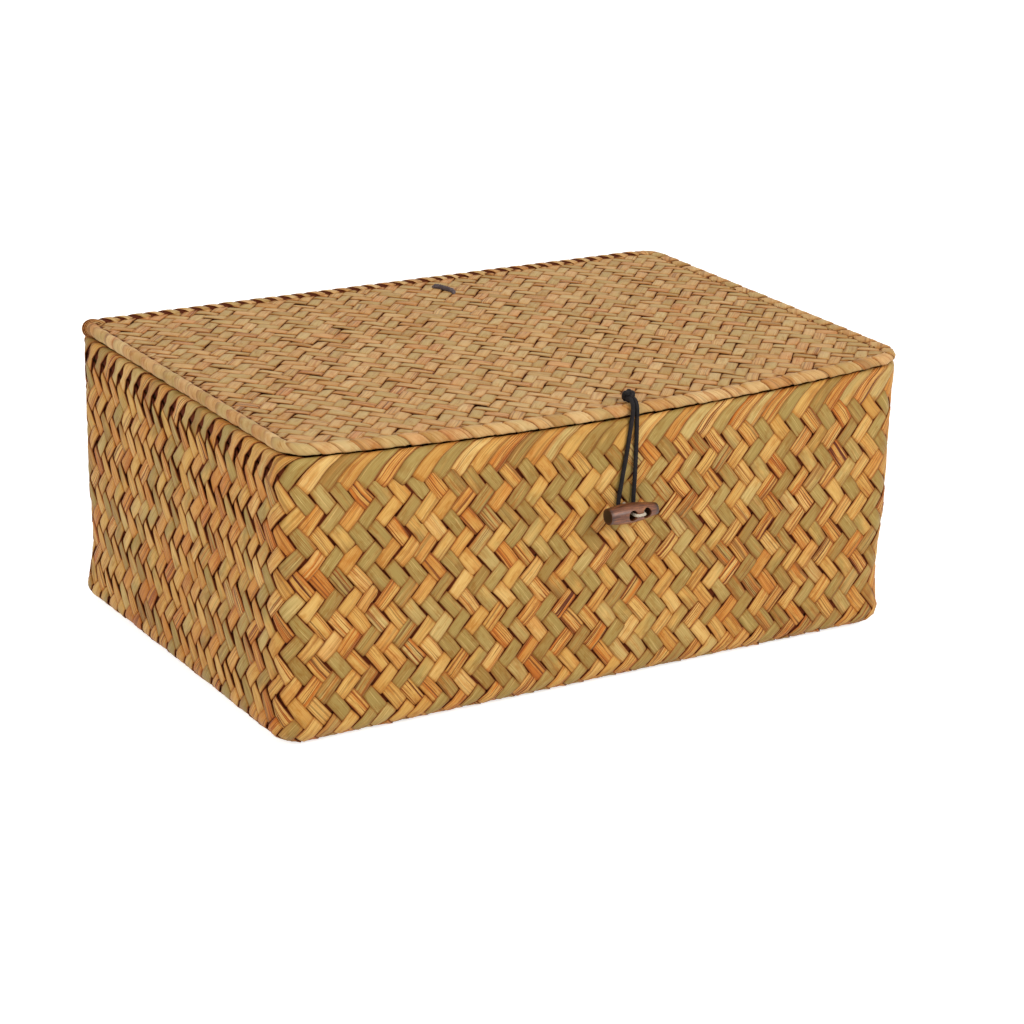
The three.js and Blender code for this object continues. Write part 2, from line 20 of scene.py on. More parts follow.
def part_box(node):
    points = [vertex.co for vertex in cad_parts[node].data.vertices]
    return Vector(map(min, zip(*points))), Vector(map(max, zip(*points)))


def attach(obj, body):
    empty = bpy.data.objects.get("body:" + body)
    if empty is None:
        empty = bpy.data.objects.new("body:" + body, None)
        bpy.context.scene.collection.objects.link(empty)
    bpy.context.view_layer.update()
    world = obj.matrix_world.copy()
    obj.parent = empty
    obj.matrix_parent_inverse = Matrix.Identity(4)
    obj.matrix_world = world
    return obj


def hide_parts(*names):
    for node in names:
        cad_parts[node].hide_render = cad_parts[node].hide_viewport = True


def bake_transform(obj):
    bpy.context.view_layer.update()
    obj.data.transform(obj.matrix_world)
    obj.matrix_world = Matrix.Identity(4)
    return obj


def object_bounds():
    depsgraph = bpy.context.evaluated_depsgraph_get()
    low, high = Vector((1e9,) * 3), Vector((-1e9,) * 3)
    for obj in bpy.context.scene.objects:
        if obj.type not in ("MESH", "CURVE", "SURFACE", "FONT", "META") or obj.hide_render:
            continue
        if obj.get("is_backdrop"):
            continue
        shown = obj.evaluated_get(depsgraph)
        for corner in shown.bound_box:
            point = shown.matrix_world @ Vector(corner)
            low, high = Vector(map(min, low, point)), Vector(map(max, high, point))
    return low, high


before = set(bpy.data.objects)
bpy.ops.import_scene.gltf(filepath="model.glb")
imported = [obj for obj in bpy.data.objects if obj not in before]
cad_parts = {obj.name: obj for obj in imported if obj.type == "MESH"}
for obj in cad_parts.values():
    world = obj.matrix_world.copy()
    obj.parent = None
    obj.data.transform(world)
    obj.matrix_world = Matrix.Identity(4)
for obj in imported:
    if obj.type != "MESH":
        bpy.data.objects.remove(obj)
solid_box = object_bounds()
MM = 0.001
print("nodes in the frame:", len(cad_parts))

# %% [markdown]
# The camera stands to the front left of the box, a little above its lid, and is turned by two
# degrees. A long lens keeps the upright edges almost parallel, as in a product picture. The
# camera could be aimed by a constraint, but three turns, the roll last, say the same and keep
# the small roll. Its distance is measured back along its own axis.

# %% The camera
CAMERA_AZIMUTH, CAMERA_ELEVATION, CAMERA_ROLL = -32.64, 19.65, 2.15
CAMERA_DISTANCE, CAMERA_LENS = 1.262, 102.4
CAMERA_TARGET = Vector((0.0135, 0.0, 0.0426))


def add_camera():
    turn, lift, roll = (math.radians(a) for a in (CAMERA_AZIMUTH, CAMERA_ELEVATION, CAMERA_ROLL))
    axes = (Matrix.Rotation(turn, 3, "Z") @ Matrix.Rotation(math.pi / 2 - lift, 3, "X")
            @ Matrix.Rotation(roll, 3, "Z"))
    place = CAMERA_TARGET + axes.col[2] * CAMERA_DISTANCE
    bpy.ops.object.camera_add()
    camera = bpy.context.object
    camera.name = "camera"
    camera.data.lens = CAMERA_LENS
    camera.matrix_world = Matrix.Translation(place) @ axes.to_4x4()
    bpy.context.scene.camera = camera
    print("the camera stands at", [round(c, 3) for c in place])


add_camera()

# %% [markdown]
# Sizes that every plaited piece shares, in millimetres. The box is a true rounded rectangle
# that has settled: the middle of its front edge hangs a little and bulges forward. Every
# place goes through the same settling, so that layers stay parallel.

# %% Shared sizes and the settled shape
HALF_LENGTH, HALF_DEPTH, CORNER = 147.5, 95.0, 12.0
BASE_EDGE = 8.0
LID_UNDERSIDE = 119.6
FRONT_SAG, FRONT_BULGE = 4.0, 3.0
QUARTER = math.pi / 2
STRIP_COUNT = 116


def settle(x, y, z):
    lengthwise = np.clip(1 - (x / HALF_LENGTH) ** 2, 0, 1)
    forward = np.clip((HALF_DEPTH - y) / (2 * HALF_DEPTH), 0, None) ** 2
    share = lengthwise * forward * np.clip(z / LID_UNDERSIDE, None, 1)
    return np.stack([x, y - FRONT_BULGE * share, z - FRONT_SAG * share], axis=-1)


# %% [markdown]
# The outline is measured by its length round the box, starting at the near corner and going
# along the front first. On such a path the middle of the corner arc and the direction that
# faces out are both piecewise straight functions of that length, so three interpolations
# give any place on any inset outline.

# %% The outline, by length round the box
CORE_X, CORE_Y = HALF_LENGTH - CORNER, HALF_DEPTH - CORNER
ARC = QUARTER * CORNER
RUNS = [ARC, 2 * CORE_X, ARC, 2 * CORE_Y] * 2
KNOTS = np.concatenate([[0.0], np.cumsum(RUNS)])
AROUND = KNOTS[-1]
KNOT_X = CORE_X * np.array([-1, -1, 1, 1, 1, 1, -1, -1, -1])
KNOT_Y = CORE_Y * np.array([-1, -1, -1, -1, 1, 1, 1, 1, -1])
KNOT_TURN = math.pi + QUARTER * np.array([0, 1, 1, 2, 2, 3, 3, 4, 4])
HALF_ALONG = AROUND / STRIP_COUNT / 2
print("round the box:", round(AROUND, 1), "mm, a strip each", round(2 * HALF_ALONG, 2), "mm")


def outline(around, inset):
    at = np.mod(around, AROUND)
    turn = np.interp(at, KNOTS, KNOT_TURN)
    reach = CORNER - inset
    x = np.interp(at, KNOTS, KNOT_X) + reach * np.cos(turn)
    y = np.interp(at, KNOTS, KNOT_Y) + reach * np.sin(turn)
    return x, y


def near_corner(around, width):
    middles = KNOTS[[0, 2, 4, 6]] + ARC / 2
    gap = np.abs(np.mod(np.asarray(around)[..., None] - middles + AROUND / 2, AROUND) - AROUND / 2)
    return np.exp(-(gap.min(axis=-1) / width) ** 2)


# %% [markdown]
# A basket wall is the outline carried up from the floor round a rounded lower edge. The
# corners of a soft basket draw in a little above the floor and spread again at the foot, and
# a hand-plaited wall is never quite flat. Both layers share that movement, so they never
# pass through each other.

# %% The basket's surfaces
LINING_INSET = 2.7
WAIST, FOOT = (-1.7, 30, 17), (0.9, 6, 7)
CORNER_REACH = 16
FOOT_TUCK = 0.34


def hand_made(around, height):
    """How far a wall stands out. Waist and foot are a distance, a height and a spread of height."""
    corner = sum(far * np.exp(-(((height - at) / spread) ** 2)) for far, at, spread in (WAIST, FOOT))
    swell = 0.35 * np.sin(around * 0.021 + 1.3) * np.sin(height * 0.031 + 0.4)
    ripple = 0.18 * np.sin(around * 0.083 + height * 0.06)
    fade = np.clip(height / 12, 0, 1)
    return near_corner(around, CORNER_REACH) * corner + (swell + ripple) * fade


def basket_place(around, rise, out, skin, facing):
    turn = np.clip(rise / BASE_EDGE, 0, QUARTER)
    edge = BASE_EDGE - skin
    inset = skin + edge * (1 - np.sin(turn)) - np.minimum(rise, 0)
    height = skin + edge * (1 - np.cos(turn)) + np.maximum(rise - BASE_EDGE * QUARTER, 0)
    out = out * facing
    inset = inset - out * np.sin(turn) - hand_made(around, height) * np.sin(turn)
    height = height - out * np.cos(turn)
    x, y = outline(around, inset)
    return settle(x, y, height)


def outer_place(around, rise, out):
    tuck = FOOT_TUCK * np.cos(np.clip(rise / BASE_EDGE, 0, QUARTER))
    return basket_place(around, rise, out - tuck, 0.0, 1)


def inner_place(around, rise, out):
    return basket_place(around, rise, out, LINING_INSET, -1)


# %% [markdown]
# One plaited strip. Where it lies on top it is called a float, and at both ends of a float it
# dives under its neighbours. Its section is crowned, with a thin edge on each side. A strip
# could be a curve with a bevel, but then each one would need its own curve object, and its
# edges could not follow a rounded corner. Here every point of the section is placed by the
# surface itself.
#
# Each point also stores a colour: the strip's own tone, a slower change along it, how high it
# lies, and how much it is streaked. The materials read these, and paint shade where a strip lies low.

# %% Sizes of a strip
SECTION = np.array([(-0.5, -0.6), (-0.485, -0.14), (-0.3, -0.03), (0.0, 0.0),
                    (0.3, -0.03), (0.485, -0.14), (0.5, -0.6)]).T
FLOAT_STEPS = ((-0.68, 0.02), (-0.54, 0.3), (-0.45, 0.68), (-0.3, 0.93), (0.5, 1.0),
               (1.3, 0.93), (1.45, 0.68), (1.54, 0.3), (1.68, 0.02), (2.5, 0.0))
FLOAT_PERIOD = 4
DIVE = 0.95
STRIP_PITCH = 6.0
SWAY = 0.06
PINCH = {1: 0.1, -1: 0.4}
FLOAT_TONE, FLOAT_LIGHT, SLOW_LIGHT, FLOAT_STREAKS = 0.12, 0.35, 0.15, 0.6
SHORT_WARMTH = 0.14
WIDTH_NOISE, WANDER, LIFT_NOISE = 0.11, 0.1, 0.2
TILT, TILT_NOISE = 0.1, 0.3

# %% A piece from points and faces
def new_piece(name, points, faces, uvs, material):
    """A smooth mesh from points in millimetres, with the strip's own map given point by point."""
    mesh = bpy.data.meshes.new(name)
    mesh.from_pydata(points * MM, [], faces)
    corners = np.zeros(len(mesh.loops), np.int32)
    mesh.loops.foreach_get("vertex_index", corners)
    uv_map = mesh.uv_layers.new(name="strip")
    uv_map.data.foreach_set("uv", uvs[corners].astype(np.float32).ravel())
    mesh.polygons.foreach_set("use_smooth", np.ones(len(mesh.polygons), bool))
    mesh.materials.append(material)
    piece = bpy.data.objects.new(name, mesh)
    bpy.context.scene.collection.objects.link(piece)
    print(name, "has", len(mesh.polygons), "faces")
    return piece

# %% A mesh of many strips
class StripMesh:
    def __init__(self, seed):
        self.random = np.random.default_rng(seed)
        self.points, self.faces, self.uvs, self.tones = [], [], [], []
        self.count = 0

    def add(self, places, across, along, tones, flip):
        rows, columns = places.shape[:2]
        index = self.count + np.arange(rows * columns).reshape(rows, columns)
        quads = np.stack([index[:-1, :-1], index[:-1, 1:], index[1:, 1:], index[1:, :-1]], axis=-1)
        quads = quads.reshape(-1, 4)
        self.faces.append(quads[:, ::-1] if flip else quads)
        self.points.append(places.reshape(-1, 3))
        for store, values in ((self.uvs, (across, along)), (self.tones, tones)):
            spread = [np.broadcast_to(value, (rows, columns)) for value in values]
            store.append(np.stack(spread, axis=-1).reshape(-1, len(values)))
        self.count += rows * columns

    def add_strip(self, places, sides, along, tones, flip=False):
        """A strip that starts anywhere on its leaf, so that no two show the same fibres."""
        start = self.random.uniform(0, 9)
        self.add(places, sides + 0.5, start + along[:, None] * MM, tones, flip)

    def noise(self, positions, spacing):
        """A value that wanders between -1 and 1 along the positions."""
        low, high = positions.min() - spacing, positions.max() + 2 * spacing
        knots = np.arange(low, high, spacing)
        return np.interp(positions, knots, self.random.uniform(-1, 1, len(knots)))

    def build(self, name, material):
        faces = np.concatenate(self.faces)
        piece = new_piece(name, np.concatenate(self.points), faces, np.concatenate(self.uvs), material)
        tone = piece.data.attributes.new("tone", "FLOAT_COLOR", "POINT")
        tone.data.foreach_set("color", np.concatenate(self.tones).astype(np.float32).ravel())
        return piece

# %% One strip
def float_levels(start, end, shift):
    """Where a strip is sampled, and how high it lies there."""
    first = math.floor((start - shift) / FLOAT_PERIOD) - 1
    last = math.ceil((end - shift) / FLOAT_PERIOD)
    steps, heights = np.array(FLOAT_STEPS).T
    at = (shift + FLOAT_PERIOD * np.arange(first, last + 1)[:, None] + steps).ravel()
    places = np.concatenate([[start], at[(at > start) & (at < end)], [end]])
    return places, np.interp(places, at, np.tile(heights, last + 1 - first))


def plait_strip(mesh, surface, lattice, start, end, shift, tone, width, streak,
                flip=False, sway=0.0, pinch=0.0, shown=None):
    """Sway turns each float a little steeper than its strip. Pinch narrows the ends of floats."""
    at, level = float_levels(start, end, shift)
    if len(at) < 3:
        return
    sides, crown = SECTION
    number = np.floor((at - shift + 1) / FLOAT_PERIOD).astype(int)
    phase = at - shift - FLOAT_PERIOD * number
    wide = width * (1 + WIDTH_NOISE * mesh.noise(at, 1.7)) * (0.94 + 0.06 * level)
    if pinch:
        tip = np.interp(phase, (-0.7, 0.5, 1.5, 2.4, 3), (0, 0, 1, 1, 0))
        wide = wide * (1 - pinch * tip * short_side(lattice(at, 0.0)[0]))
        float_middle = shift + FLOAT_PERIOD * number + 0.5
        tone = tone - SHORT_WARMTH * short_side(lattice(float_middle, 0.0)[0])[:, None]
    wander = WANDER * mesh.noise(at, 2.0) - sway * np.sin(QUARTER * (phase - 0.5))
    crown = crown * (0.85 + 0.3 * mesh.random.random())
    lift = (level - 1) * DIVE + LIFT_NOISE * mesh.noise(at, 2.0) * level
    tilt = (TILT + TILT_NOISE * mesh.noise(at, 1.6)[:, None]) * sides * 2
    one, two = lattice(at[:, None], sides * wide[:, None] + wander[:, None])
    places = surface(one, two, lift[:, None] + crown + tilt)

    number = number - number[0]
    own_tone, own_light, own_streak = mesh.random.uniform(-1, 1, (3, number[-1] + 1))[:, number]
    light = 0.5 + FLOAT_LIGHT * own_light + SLOW_LIGHT * mesh.noise(at, 3.5)
    # How high the strip lies, and zero where a mat is hidden under the binding: the material paints shade
    # where this is low.
    seen = level[:, None] * (shown(one, two) if shown else 1.0)
    streaks = streak * (1 + FLOAT_STREAKS * own_streak[:, None])
    tones = (tone + FLOAT_TONE * own_tone[:, None], light[:, None], seen, streaks)
    mesh.add_strip(places, sides, at * STRIP_PITCH, tones, flip)


# %% [markdown]
# Tones of the strips. Leaves are plaited with their golden side out and their olive side out
# in turns, and a few break the turn. The first number picks the leaf's own colour in the
# material, and the second says how strongly brown fibres show in it. Each float then varies a
# little from its strip.

# %% How leaves are chosen
USUAL_SHARE = 0.88


def pick_leaf(random, number):
    """Every other strip is plaited with its golden side out, and the ones between show olive."""
    golden = (number % 2 == 0) == (random.random() < USUAL_SHARE)
    tone = random.uniform(0.12, 0.5) if golden else random.uniform(0.68, 0.96)
    streak = random.beta(1.6, 1.5) if golden else random.beta(0.7, 3.4)
    return tone, streak


# %% [markdown]
# Node groups. Every plaited piece is the same leaf, so its fibres are one group of nodes with
# named inputs. The group turns the stored tones and the strip's own map into a colour, a
# roughness and a height, and the shader stays in each material. A picture texture would be
# quicker, but it would repeat and could not follow each strip. Small helpers let a row of
# nodes read like a sum.

# %% Small helpers for nodes
def set_inputs(node, inputs):
    """Each input gets a plain value, or a link from the socket of another node."""
    for key, value in inputs.items():
        if isinstance(value, bpy.types.NodeSocket):
            node.id_data.links.new(value, node.inputs[key])
        else:
            node.inputs[key].default_value = value


def add_node(tree, kind, inputs=None, **settings):
    node = tree.nodes.new("ShaderNode" + kind)
    for key, value in settings.items():
        setattr(node, key, value)
    set_inputs(node, inputs or {})
    return node


def maths(operation, one, two=0.0, clamp=False):
    """One sum, in the node tree that its first input belongs to. The helpers below do the same."""
    inputs = {0: one, 1: two}
    return add_node(one.id_data, "Math", inputs, operation=operation, use_clamp=clamp).outputs[0]


def plus(one, two, clamp=False):
    return maths("ADD", one, two, clamp)


def minus(one, two):
    return maths("SUBTRACT", one, two)


def times(one, two, clamp=False):
    return maths("MULTIPLY", one, two, clamp)

# %% Patterns, colours and bumps
def smooth_step(value, low, high):
    inputs = {0: value, 1: low, 2: high}
    return add_node(value.id_data, "MapRange", inputs, interpolation_type="SMOOTHSTEP").outputs[0]


def mix_colours(share, one, two, blend="MIX"):
    tree = (one if isinstance(share, float) else share).id_data
    inputs = {0: share, 6: one, 7: two}
    return add_node(tree, "Mix", inputs, data_type="RGBA", blend_type=blend).outputs[2]


def noise(vector, scale, detail, roughness):
    inputs = {"Vector": vector, "Scale": scale, "Detail": detail, "Roughness": roughness}
    return add_node(vector.id_data, "TexNoise", inputs).outputs["Fac"]


def stretched(vector, scale):
    return add_node(vector.id_data, "VectorMath", {0: vector, 1: scale}, operation="MULTIPLY").outputs[0]


def bumped(height, strength, distance):
    inputs = {"Height": height, "Strength": strength, "Distance": distance}
    return add_node(height.id_data, "Bump", inputs).outputs[0]


def rgb(red, green, blue):
    """A colour as it looks on a screen, 0 to 255, as the plain light numbers that nodes use."""
    shares = [c / 255 for c in (red, green, blue)]
    linear = [c / 12.92 if c <= 0.04045 else ((c + 0.055) / 1.055) ** 2.4 for c in shares]
    return (*linear, 1.0)


# %% The leaf group
COLOUR, NUMBER = "NodeSocketColor", "NodeSocketFloat"
# Gap is the colour of painted shade on strips that lie low or turn their sides, and of dark splits.
LEAF_COLOURS = ("Warm", "Straw", "Olive", "Streak", "Gap", "Pale", "Rust")
SHADE = (0.76, 0.56, 0.34, 1.0)


def leaf_group():
    tree = bpy.data.node_groups.new("dry seagrass leaf", "ShaderNodeTree")
    sockets = [*((label, "INPUT", COLOUR) for label in LEAF_COLOURS), ("Outline", "INPUT", NUMBER),
               ("Color", "OUTPUT", COLOUR), ("Roughness", "OUTPUT", NUMBER), ("Height", "OUTPUT", NUMBER)]
    for label, way, kind in sockets:
        tree.interface.new_socket(name=label, in_out=way, socket_type=kind)
    given, result = tree.nodes.new("NodeGroupInput"), tree.nodes.new("NodeGroupOutput")
    warm, straw, olive, streak, gap, pale, rust, outlined = given.outputs[:8]

    # What each point stores, and its place on the strip: 0 to 1 across, and its length along.
    tone = add_node(tree, "Attribute", attribute_name="tone")
    leaf, slow, level = add_node(tree, "SeparateColor", {0: tone.outputs["Color"]}).outputs
    streaked = tone.outputs["Alpha"]
    uv = add_node(tree, "UVMap", uv_map="strip").outputs[0]
    across, along = add_node(tree, "SeparateXYZ", {0: uv}).outputs[:2]
    side = times(maths("ABSOLUTE", minus(across, 0.5)), 2.0)
    seat = add_node(tree, "CombineXYZ", {0: across, 1: along, 2: leaf}).outputs[0]

    def grain(stretch, detail, roughness):
        return noise(stretched(seat, stretch), 1.0, detail, roughness)

    fibre = grain((17, 50, 60), 3.0, 0.66)
    strands = grain((15, 22, 43), 2.0, 0.6)
    rusty = grain((3.4, 26, 83), 2.0, 0.6)
    splits = grain((6, 14, 71), 1.0, 0.5)
    patches = grain((0.9, 70, 29), 2.0, 0.5)
    stains = grain((2.2, 150, 17), 3.0, 0.6)

    # The leaf's own colour, its bleached fibres and its rusty ones.
    shade = plus(leaf, times(minus(patches, 0.5), 0.6))
    colour = mix_colours(smooth_step(shade, 0.04, 0.3), warm, straw)
    colour = mix_colours(smooth_step(shade, 0.52, 0.72), colour, olive)
    bleached = plus(times(smooth_step(fibre, 0.52, 0.74), 0.55),
                    times(smooth_step(slow, 0.55, 0.95), 0.45), clamp=True)
    colour = mix_colours(bleached, colour, pale)
    rusted = times(smooth_step(rusty, 0.47, 0.66), times(streaked, 1.2), clamp=True)
    colour = mix_colours(rusted, colour, rust)

    # Painted shade where the strip dives, and darker towards its sides. Darker tones on dusky
    # floats, in stains and between fibres.
    shade_and_stains = times(smooth_step(level, 1.0, 0.72), 0.75)
    for value, start, full, share in ((slow, 0.4, 0.05, 0.5), (side, 0.5, 1.0, 0.4),
                                      (stains, 0.48, 0.7, 0.6), (fibre, 0.46, 0.3, 0.8)):
        shade_and_stains = plus(shade_and_stains, times(smooth_step(value, start, full), share), clamp=True)
    colour = mix_colours(shade_and_stains, colour, mix_colours(1.0, colour, SHADE, "MULTIPLY"))

    # Brown lines and dark splits along the leaf, and its browned edge. Then painted shade on the
    # strip's thin sides and wherever it lies low.
    lines = times(smooth_step(strands, 0.54, 0.6), times(streaked, 1.5), clamp=True)
    colour = mix_colours(lines, colour, streak)
    split = times(smooth_step(splits, 0.61, 0.65), plus(times(streaked, 0.9), 0.06), clamp=True)
    colour = mix_colours(split, colour, gap)
    worn_side = plus(side, times(minus(fibre, 0.5), 0.3))
    edge = times(smooth_step(worn_side, 0.82, 1.0), outlined)
    colour = mix_colours(times(edge, 0.75), colour, streak)
    # Painted shade: the gap shade colour covers the thin sides and every place where the strip dives or
    # lies hidden.
    skirt_shade = times(smooth_step(side, 0.965, 0.99), outlined)
    low = maths("MAXIMUM", skirt_shade, smooth_step(level, 0.78, 0.35))
    rough = plus(plus(times(fibre, 0.3), 0.42), times(low, 0.6), clamp=True)
    height = minus(fibre, times(split, 0.6))
    set_inputs(result, {"Color": mix_colours(low, colour, gap), "Roughness": rough, "Height": height})
    return tree


LEAF = leaf_group()
print("the leaf group has", len(LEAF.nodes), "nodes")

# %% Leaf materials
def new_material(name, roughness, specular):
    material = bpy.data.materials.new(name)
    material.use_nodes = True
    shader = material.node_tree.nodes["Principled BSDF"]
    set_inputs(shader, {"Roughness": roughness, "Specular IOR Level": specular})
    return material, material.node_tree, shader


def leaf_material(name, outline, bump, **colours):
    material, tree, shader = new_material(name, 0.6, 0.24)
    inputs = {label: rgb(*colour) for label, colour in colours.items()}
    leaf = add_node(tree, "Group", {"Outline": outline, **inputs}, node_tree=LEAF).outputs
    set_inputs(shader, {"Base Color": leaf["Color"], "Roughness": leaf["Roughness"],
                        "Normal": bumped(leaf["Height"], bump, 0.0004)})
    return material


SEAGRASS = leaf_material(
    "seagrass", outline=1.0, bump=0.7, Warm=(210, 144, 62), Straw=(217, 169, 88), Olive=(168, 140, 74),
    Streak=(146, 74, 22), Gap=(92, 36, 5), Pale=(242, 208, 136), Rust=(204, 122, 42))
LID_SEAGRASS = leaf_material(
    "lid seagrass", outline=0.45, bump=0.6, Warm=(212, 158, 101), Straw=(208, 166, 107),
    Olive=(190, 158, 99), Streak=(162, 94, 42), Gap=(82, 32, 5), Pale=(230, 196, 140), Rust=(200, 134, 84))

# %% [markdown]
# The outer basket. Strips run up the wall both ways at 45 degrees. Each passes over two and
# under two of the others, and all floats of one direction lie side by side, so the wall shows
# level rows: one row leans right, the next leans left. The pattern closes on itself round the
# box because the number of strips is a whole number.

# %% Walls
HALF_UP, WALL_WIDTH = 4.38, 1.0
TOP_FLOAT = 24
TOP_ROW_START = 111.4
ROW_BASE = TOP_ROW_START - (TOP_FLOAT - 0.5) * HALF_UP


def rows_lattice(number, lean):
    def place(at, across):
        return (2 * number + lean * at + across) * HALF_ALONG, (at - lean * across) * HALF_UP + ROW_BASE
    return place


def short_side(around):
    """One on the two short walls, where the plait is drawn tighter, and zero on the long ones."""
    shares = (0.8, 0, 0, 0.8, 1, 0, 0, 1, 0.8)
    return np.interp(np.mod(around, AROUND), KNOTS, shares)


def plait_wall(name, seed, surface, low, top_right, top_left, flip=False, streak_share=1.0):
    """The wall, and the leaves of its strips that lean right, which the folds carry on."""
    mesh = StripMesh(seed)
    leaves = [pick_leaf(mesh.random, number) for number in range(STRIP_COUNT)]
    start = (low - ROW_BASE) / HALF_UP
    for number in range(STRIP_COUNT):
        for lean, shift, top in ((1, 0, top_right), (-1, 2, top_left)):
            tone, streak = pick_leaf(mesh.random, number) if lean < 0 else leaves[number]
            end = (top - ROW_BASE) / HALF_UP
            plait_strip(mesh, surface, rows_lattice(number, lean), start, end, shift, tone, WALL_WIDTH,
                        streak * streak_share, flip=flip, sway=lean * SWAY, pinch=PINCH[lean])
    return mesh.build(name, SEAGRASS), leaves


outer_weave, right_leaning = plait_wall("outer_weave", 11, outer_place, -6.0, TOP_ROW_START - HALF_UP,
                                        TOP_ROW_START + 1.6 * HALF_UP)
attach(outer_weave, "basket")
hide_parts("outer_basket")

# %% [markdown]
# A flat mat. On the base and on both faces of the lid the same plait lies flat. There the
# rows run from front to back, so the places are worked out from left to right, and a strip
# is only as long as the mat under it. The ends are drawn in to the rounded corners and lie
# hidden under the wall or under the lid's binding.

# %% Mats
SHORTEST_STRIP = 0.5


def columns_lattice(number, lean, half_step):
    def place(at, across):
        return (at + lean * across) * half_step, (lean * (at - 2 * number) - across) * half_step
    return place


def inside_corners(x, y, inset):
    radius = CORNER - inset
    over_x, over_y = np.abs(x) - CORE_X, np.abs(y) - CORE_Y
    reach = np.hypot(np.maximum(over_x, 0), np.maximum(over_y, 0))
    share = np.where(reach > radius, radius / np.maximum(reach, 1e-6), 1.0)
    near_x = np.sign(x) * (CORE_X + over_x * share)
    near_y = np.sign(y) * (CORE_Y + over_y * share)
    return np.where(over_x > 0, near_x, x), np.where(over_y > 0, near_y, y)


def plait_mat(name, seed, material, inset, height, facing, half_step, widths, streak_share=1.0, shown=None):
    mesh = StripMesh(seed)
    reach_x = (HALF_LENGTH - inset) / half_step
    reach_y = (HALF_DEPTH - inset) / half_step

    def surface(x, y, out):
        x, y = inside_corners(x, y, inset)
        return settle(x, y, height + facing * out)

    most = math.ceil((reach_x + reach_y) / 2)
    for number in range(-most, most + 1):
        for lean, shift in ((1, 0), (-1, 2)):
            tone, streak = pick_leaf(mesh.random, number)
            start = max(-reach_x, 2 * number - reach_y)
            end = min(reach_x, 2 * number + reach_y)
            if end - start > SHORTEST_STRIP:
                lattice = columns_lattice(number, lean, half_step)
                plait_strip(mesh, surface, lattice, start, end, shift, tone, widths[lean > 0],
                            streak * streak_share, flip=facing < 0, shown=shown)
    return mesh.build(name, material)


BASE_WIDTHS = (1.04, 1.04)
base_weave = plait_mat("base_weave", 12, SEAGRASS, 8.6, 0.75, -1, HALF_ALONG, BASE_WIDTHS)
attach(base_weave, "basket")

# %% [markdown]
# The lining. A second, thinner basket stands inside the first. It is plaited the same way,
# walls and base apart, and shows its faces to the inside.

# %% Lining
LINING_STREAKS = 0.7
lining_weave, _ = plait_wall("lining_weave", 13, inner_place, -3.0, 110.0, 110.0, True, LINING_STREAKS)
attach(lining_weave, "basket")
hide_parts("inner_basket")

lining_base = plait_mat("lining_base", 15, SEAGRASS, 9.5, LINING_INSET + 0.1, 1, HALF_ALONG, BASE_WIDTHS,
                        LINING_STREAKS)
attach(lining_base, "basket")

# %% [markdown]
# The rim. Each strip that leans right in the top row carries on upwards, stands up straighter
# as it nears the rim, rolls over it and is tucked away inside. On the short walls the folds
# are drawn narrow below the rim, so that dark triangles open between them. A fold is a strip
# on another surface: the profile of the rim, unrolled.

# %% Folds over the rim
ROLL, ROLL_HEIGHT, FOLD_STRAY = 1.7, 117.2, 0.5
FOLD_STEPS = np.array([-4.5, -2.4, -0.9, 1.0, 3.0, 5.0, 7.0, 8.8, 10.2,
                       11.4, 12.8, 14.2, 15.6, 17.0, 19.0, 24.0, 29.0])
FRONT_FOLD = ((-4.5, 1.0, 1.0), (0, 1.0, 0.75), (4, 1.0, 0.7), (8, 1.02, 1.0), (11, 1.04, 1.4),
              (14, 1.04, 1.5), (17, 1.04, 1.2), (29, 0.9, 0.3))
SHORT_FOLD = ((-4.5, 0.95, 1.0), (0, 0.8, 0.7), (3, 0.58, 0.45), (5, 0.52, 0.4), (7, 0.78, 0.6),
              (8.8, 1.02, 0.95), (11, 1.05, 1.2), (14, 1.05, 1.3), (17, 1.04, 1.1), (29, 0.9, 0.3))


def rim_place(around, climb, out):
    """The fold's own surface: up the wall from where the fold starts, over the roll and down inside."""
    start_height = TOP_ROW_START - BASE_EDGE * QUARTER + BASE_EDGE
    straight = ROLL_HEIGHT - start_height
    turn = np.clip((climb - straight) / ROLL, 0, math.pi)
    down = np.maximum(climb - straight - ROLL * math.pi, 0)
    reach = ROLL + out
    inset = ROLL - reach * np.cos(turn)
    height = np.minimum(start_height + climb, ROLL_HEIGHT) + reach * np.sin(turn) - down
    inset = inset - hand_made(around, height) * (turn < 3)
    x, y = outline(around, inset)
    return settle(x, y, height)

# %% One fold, then all of them
def fold_strip(mesh, number, tone, streak, short_share):
    """A fold is as wide as its place on the rim. On the short walls it is pinched below the rim."""
    climb, (sides, crown) = FOLD_STEPS, SECTION
    long_way, short_way = np.array(FRONT_FOLD).T, np.array(SHORT_FOLD).T
    span, lean = (np.interp(climb, long_way[0], long_way[k]) * (1 - short_share)
                  + np.interp(climb, short_way[0], short_way[k]) * short_share for k in (1, 2))
    drift = np.concatenate([[0], np.cumsum(np.diff(climb) * (lean[1:] + lean[:-1]) / 2)])
    middle = (2 * number + TOP_FLOAT - 0.5) * HALF_ALONG + drift - np.interp(0, climb, drift)
    middle = middle + np.interp(climb, [2, 10], [0, mesh.random.uniform(-FOLD_STRAY, FOLD_STRAY)])
    # How high the fold lies: it comes out from under the top row, and the material paints shade where it is
    # low.
    level = np.interp(climb, [-4.5, -2.4, -0.9, 0.6], [0, 0.1, 0.6, 1])
    wide = span * 2 * HALF_ALONG / (1 + lean ** 2) * (1 + 0.05 * mesh.noise(climb, 5))
    side = sides * wide[:, None]
    lift = (level - 1) * DIVE + 0.12 * mesh.noise(climb, 6)
    lapped = np.interp(climb, [0, 6, 20], [0.05, 0.28, 0.1])[:, None] * sides * 2
    places = rim_place(middle[:, None] + side, climb[:, None] - side * lean[:, None],
                       lift[:, None] + crown + lapped)
    mesh.add_strip(places, sides, climb, (tone, mesh.random.random(), level[:, None], streak))


